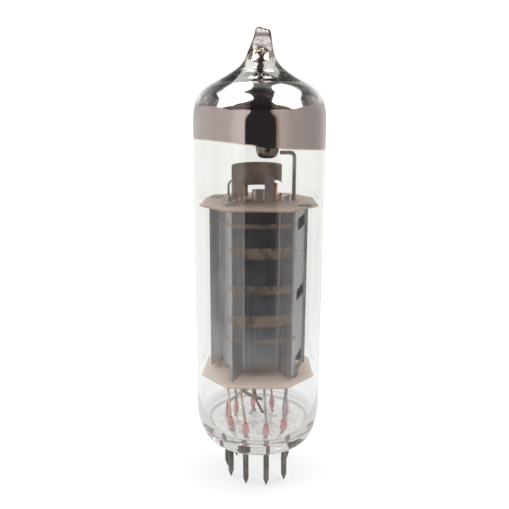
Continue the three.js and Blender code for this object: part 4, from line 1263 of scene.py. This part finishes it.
# the works lean with the bulb
for ob in list(SCENE.objects):
    if ob.type == "MESH" and ob.name not in NODES and not ob.name.startswith(("glass_", "getter_mirror", "pin_", "seal_")):
        for v in ob.data.vertices:
            x, y, z = stand(v.co.x / MM, v.co.y / MM, v.co.z / MM)
            v.co = (x * MM, y * MM, z * MM)

# ------------------------------------------------------------------ studio
D, H, PITCH, FPX, CX, FRAME_PX = 112.315, 62.843, 0.250, 669.085, 259.3, 509
az = math.radians(PHOTO_TURN)
cam = bpy.data.cameras.new("camera")
cam_ob = bpy.data.objects.new("camera", cam)
SCENE.collection.objects.link(cam_ob)
cam.sensor_width = 36
cam.lens = FPX / FRAME_PX * 36
cam.clip_start, cam.clip_end = 0.001, 20
cam.shift_x = -(CX - FRAME_PX / 2) / FRAME_PX
fwd = Vector((-math.sin(az) * math.cos(PITCH), math.cos(az) * math.cos(PITCH), -math.sin(PITCH)))
right = Vector((math.cos(az), math.sin(az), 0))
mw = Matrix((right, right.cross(fwd), -fwd)).transposed().to_4x4()
mw.translation = Vector((D * math.sin(az), -D * math.cos(az), H)) * MM
cam_ob.matrix_world = mw
SCENE.camera = cam_ob

# floor: pale paper, seen only from above, so that the underside can be looked at too
floor_m, N, out = material("paper_floor")
geo = N.n("ShaderNodeNewGeometry")
lp = N.n("ShaderNodeLightPath")
fp = N.obj()
paper = N.noise(N.scaled(fp, 60), 1.0, 3, 0.5)
diff = N.n("ShaderNodeBsdfDiffuse")
N.put(diff.inputs["Color"], N.mix(paper, (0.84, 0.84, 0.835, 1), (0.87, 0.87, 0.865, 1)))
em = N.n("ShaderNodeEmission")
em.inputs["Color"].default_value = (1, 1, 1, 1)
em.inputs["Strength"].default_value = 0.16
lit = N.n("ShaderNodeAddShader")
N.link(diff.outputs[0], lit.inputs[0])
N.link(em.outputs[0], lit.inputs[1])
even = N.n("ShaderNodeEmission")
even.inputs["Color"].default_value = (0.985, 0.99, 1.0, 1)
even.inputs["Strength"].default_value = 0.965
# painted shadow: the soft shade under the tube, a little to the left of it
shade_at = N.n("ShaderNodeSeparateXYZ")
N.put(shade_at.inputs[0], geo.outputs["Position"])
sx_ = N.math("DIVIDE", N.math("ADD", shade_at.outputs[0], 0.0030), 0.021)
sy_ = N.math("DIVIDE", N.math("ADD", shade_at.outputs[1], 0.0010), 0.024)
away = N.math("SQRT", N.math("ADD", N.math("MULTIPLY", sx_, sx_), N.math("MULTIPLY", sy_, sy_)))
painted_floor_shadow = N.n("ShaderNodeEmission")
painted_floor_shadow.inputs["Color"].default_value = (0.86, 0.855, 0.865, 1)
shaded = N.n("ShaderNodeMixShader")
N.put(shaded.inputs[0], N.span(away, 1.0, 0.1, 0.0, 0.62))
N.link(lit.outputs[0], shaded.inputs[1])
N.link(painted_floor_shadow.outputs[0], shaded.inputs[2])
add = N.n("ShaderNodeMixShader")
N.put(add.inputs[0], lp.outputs["Is Camera Ray"])
N.link(even.outputs[0], add.inputs[1])
N.link(shaded.outputs[0], add.inputs[2])
tr = N.n("ShaderNodeBsdfTransparent")
mx = N.n("ShaderNodeMixShader")
# the sheet reaches only a little way round the tube for anything reflected in it
fs = N.n("ShaderNodeSeparateXYZ")
N.put(fs.inputs[0], geo.outputs["Position"])
reach = N.math("SQRT", N.math("ADD", N.math("MULTIPLY", fs.outputs[0], fs.outputs[0]), N.math("MULTIPLY", fs.outputs[1], fs.outputs[1])))
beyond = N.math("MULTIPLY", N.span(reach, 0.050, 0.110), N.math("SUBTRACT", 1.0, lp.outputs["Is Camera Ray"]))
N.put(mx.inputs[0], N.math("MAXIMUM", geo.outputs["Backfacing"], beyond))
N.link(add.outputs[0], mx.inputs[1])
N.link(tr.outputs[0], mx.inputs[2])
N.link(mx.outputs[0], out.inputs["Surface"])
fm = bpy.data.meshes.new("floor")
zf = -PIN_BELOW * MM
fm.from_pydata([(-3, -3, zf), (3, -3, zf), (3, 3, zf), (-3, 3, zf)], [], [[0, 1, 2, 3]])
fm.materials.append(floor_m)
floor = bpy.data.objects.new("floor", fm)
SCENE.collection.objects.link(floor)

# world: a white tent round the object with a dark gap on the camera's side, and two soft boxes above it
world = bpy.data.worlds.new("studio")
SCENE.world = world
world.use_nodes = True
W = Nodes(world.node_tree)
wout = W.n("ShaderNodeOutputWorld")
bg = W.n("ShaderNodeBackground")
W.link(bg.outputs[0], wout.inputs[0])
tc = W.n("ShaderNodeTexCoord")
sep = W.n("ShaderNodeSeparateXYZ")
W.put(sep.inputs[0], tc.outputs["Camera"])
cx_, cy_, cz_ = sep.outputs
# turn out of the camera's pitch, so that up is up again at the main view
cp, sp_ = math.cos(PITCH), math.sin(PITCH)
upc = W.math("SUBTRACT", W.math("MULTIPLY", cy_, cp), W.math("MULTIPLY", cz_, sp_))
fwc = W.math("ADD", W.math("MULTIPLY", cz_, cp), W.math("MULTIPLY", cy_, sp_))
azm = W.math("MULTIPLY", W.math("ARCTAN2", cx_, W.math("MULTIPLY", fwc, -1.0)), 180 / math.pi)   # 0 towards the camera's side
ele = W.math("MULTIPLY", W.math("ARCSINE", W.math("MINIMUM", W.math("MAXIMUM", upc, -1.0), 1.0)), 180 / math.pi)
absaz = W.math("ABSOLUTE", W.math("SUBTRACT", azm, 2.0))
# the tent's brightness round the compass, 0 = towards the camera's side, negative = left
level = W.n("ShaderNodeFloatCurve")
curve = level.mapping.curves[0]
stops = [(-180, 0.98), (-140, 0.94), (-110, 0.90), (-80, 0.86), (-58, 0.88), (-42, 1.15), (-26, 1.20), (26, 0.86), (42, 0.84), (58, 0.68), (80, 0.64),
         (105, 0.60), (128, 0.68), (148, 0.94), (180, 0.98)]
curve.points[0].location = (0.0, stops[0][1] / 1.5)
curve.points[1].location = (1.0, stops[-1][1] / 1.5)
for a, v in stops[1:-1]:
    curve.points.new((a + 180) / 360, v / 1.5)
level.mapping.update()
W.put(level.inputs["Value"], W.math("DIVIDE", W.math("ADD", azm, 180.0), 360.0))
bright = W.math("MULTIPLY", level.outputs[0], 1.5)
tone = W.mix(W.span(W.math("ABSOLUTE", azm), 35, 120), (1.0, 0.955, 0.93, 1), (1.0, 0.985, 0.98, 1))
wall = W.mix(1.0, tone, bright, "MULTIPLY")
half = W.span(ele, 14, 31, 27.5, 19.5)
gap = W.math("SUBTRACT", 1.0, W.span(W.math("SUBTRACT", absaz, half), -1.5, 1.5))
col = W.mix(gap, wall, (0.050, 0.044, 0.050, 1))
fringe = W.math("MULTIPLY", W.span(W.math("SUBTRACT", azm, half), 0.0, 3.0), W.span(W.math("SUBTRACT", azm, half), 7.5, 5.0))
col = W.mix(W.math("MULTIPLY", fringe, 0.75), col, (0.50, 0.34, 0.22, 1))
# above the walls: a dark room with two broad soft boxes overhead, placed on a level plane (u to the right, v to the camera's side)


def curve_of(value, lo, hi, points, scale):
    """A smooth curve through the points; lo..hi is the range of the value, scale the largest result."""
    node = W.n("ShaderNodeFloatCurve")
    c = node.mapping.curves[0]
    c.points[0].location = ((points[0][0] - lo) / (hi - lo), points[0][1] / scale)
    c.points[1].location = ((points[-1][0] - lo) / (hi - lo), points[-1][1] / scale)
    for px, py in points[1:-1]:
        c.points.new((px - lo) / (hi - lo), py / scale)
    node.mapping.update()
    W.put(node.inputs["Value"], W.math("DIVIDE", W.math("SUBTRACT", value, lo), hi - lo, clamp=True))
    return W.math("MULTIPLY", node.outputs[0], scale)


top_edge = curve_of(absaz, 0, 180, [(0, 33), (44, 33), (56, 30.3), (80, 29.6), (94, 28.8), (108, 25.8), (120, 22.5), (135, 18), (150, 13.5), (180, 11)], 40)
above = W.span(W.math("SUBTRACT", ele, top_edge), -0.8, 0.8)
hgt = W.math("MAXIMUM", upc, 0.02)
pu = W.math("DIVIDE", cx_, hgt)
pv = W.math("DIVIDE", W.math("MULTIPLY", fwc, -1.0), hgt)
au = W.math("ABSOLUTE", pu)
side = W.math("GREATER_THAN", pu, 0.0)
wave = W.n("ShaderNodeTexNoise", noise_dimensions="3D")
W.put(wave.inputs["Vector"], tc.outputs["Camera"])
wave.inputs["Scale"].default_value = 7.0
wob = W.math("MULTIPLY", W.math("SUBTRACT", wave.outputs["Fac"], 0.5), 0.16)


def soft_box(inner, near, far):
    """near, far: the edges towards and away from the camera's side, as curves over the distance out; inner: over the depth, plus 1.4."""
    n = W.math("SUBTRACT", curve_of(au, 0, 2.2, [(x, y + 0.5) for x, y in near], 2.0), 0.5)
    f = W.math("SUBTRACT", curve_of(au, 0, 2.2, [(x, y + 1.5) for x, y in far], 2.0), 1.5)
    i = curve_of(pv, -1.4, 0.8, inner, 0.5)
    m = W.span(W.math("ADD", W.math("SUBTRACT", au, i), W.math("MULTIPLY", wob, 0.5)), -0.03, 0.03)
    m = W.math("MULTIPLY", m, W.span(W.math("ADD", W.math("SUBTRACT", n, pv), wob), -0.04, 0.05))
    m = W.math("MULTIPLY", m, W.span(W.math("ADD", W.math("SUBTRACT", pv, f), wob), -0.06, 0.08))
    return W.math("MULTIPLY", m, W.span(au, 2.2, 1.9))


soft_l = soft_box([(-1.4, 0.06), (-0.83, 0.09), (-0.45, 0.11), (-0.30, 0.18), (-0.12, 0.29), (0.05, 0.20), (0.3, 0.165), (0.45, 0.17), (0.6, 0.40), (0.8, 0.45)],
                  [(0, 0.36), (0.16, 0.43), (0.3, 0.55), (0.43, 0.60), (0.74, 0.63), (1.06, 0.64), (1.34, 0.48), (1.7, 0.31), (2.2, 0.15)],
                  [(0, -1.40), (0.27, -1.30), (0.38, -1.05), (0.5, -0.86), (0.65, -0.73), (0.86, -0.70), (0.96, -0.50), (1.03, -0.34), (1.15, -0.19), (1.3, -0.13), (1.7, -0.06), (2.2, 0.0)])
soft_r = soft_box([(-1.4, 0.26), (-0.87, 0.25), (-0.65, 0.19), (-0.45, 0.19), (-0.15, 0.28), (0.1, 0.31), (0.5, 0.36), (0.8, 0.42)],
                  [(0, 0.30), (0.3, 0.50), (0.45, 0.68), (0.66, 0.79), (1.02, 0.72), (1.5, 0.71), (1.75, 0.58), (2.2, 0.35)],
                  [(0, -1.0), (0.25, -0.92), (0.52, -0.93), (0.72, -0.82), (0.82, -0.70), (0.93, -0.54), (1.03, -0.40), (1.15, -0.22), (1.45, -0.12), (1.8, -0.10), (2.2, 0.0)])
soft = W.math("ADD", W.math("MULTIPLY", soft_r, side), W.math("MULTIPLY", soft_l, W.math("SUBTRACT", 1.0, side)))
streaks = W.n("ShaderNodeTexNoise", noise_dimensions="3D")
W.put(streaks.inputs["Vector"], tc.outputs["Camera"])
streaks.inputs["Scale"].default_value = 5.5
streaks.inputs["Detail"].default_value = 3.0
back_room = curve_of(ele, 0, 90, [(0, 0.50), (12, 0.50), (20, 0.43), (25, 0.32), (28, 0.23), (31, 0.19), (34, 0.135), (38, 0.09), (44, 0.10), (52, 0.12), (59, 0.24), (65, 0.22), (70, 0.07), (90, 0.05)], 0.6)
back_room = W.math("MULTIPLY", back_room, W.span(streaks.outputs["Fac"], 0.35, 0.65, 0.62, 1.45))
room = W.mix(W.span(absaz, 35, 100), (0.095, 0.074, 0.068, 1), W.mix(1.0, back_room, (1.03, 1.0, 1.0, 1), "MULTIPLY"))
strip = W.math("SUBTRACT", 1.0, W.span(absaz, 20, 42))
room = W.mix(strip, room, (0.030, 0.024, 0.026, 1))
ceiling = W.mix(soft, room, (3.4, 3.4, 3.35, 1))
col = W.mix(above, col, ceiling)
lp = W.n("ShaderNodeLightPath")
col = W.mix(lp.outputs["Is Camera Ray"], col, (1.02, 1.02, 1.02, 1))
W.put(bg.inputs["Color"], col)
bg.inputs["Strength"].default_value = 1.0

SCENE.view_settings.view_transform = "Standard"
SCENE.view_settings.look = "None"
SCENE.cycles.use_denoising = True
SCENE.cycles.max_bounces = 32
SCENE.cycles.transmission_bounces = 24
SCENE.cycles.glossy_bounces = 10
SCENE.cycles.transparent_max_bounces = 24
SCENE.cycles.sample_clamp_indirect = 6.0
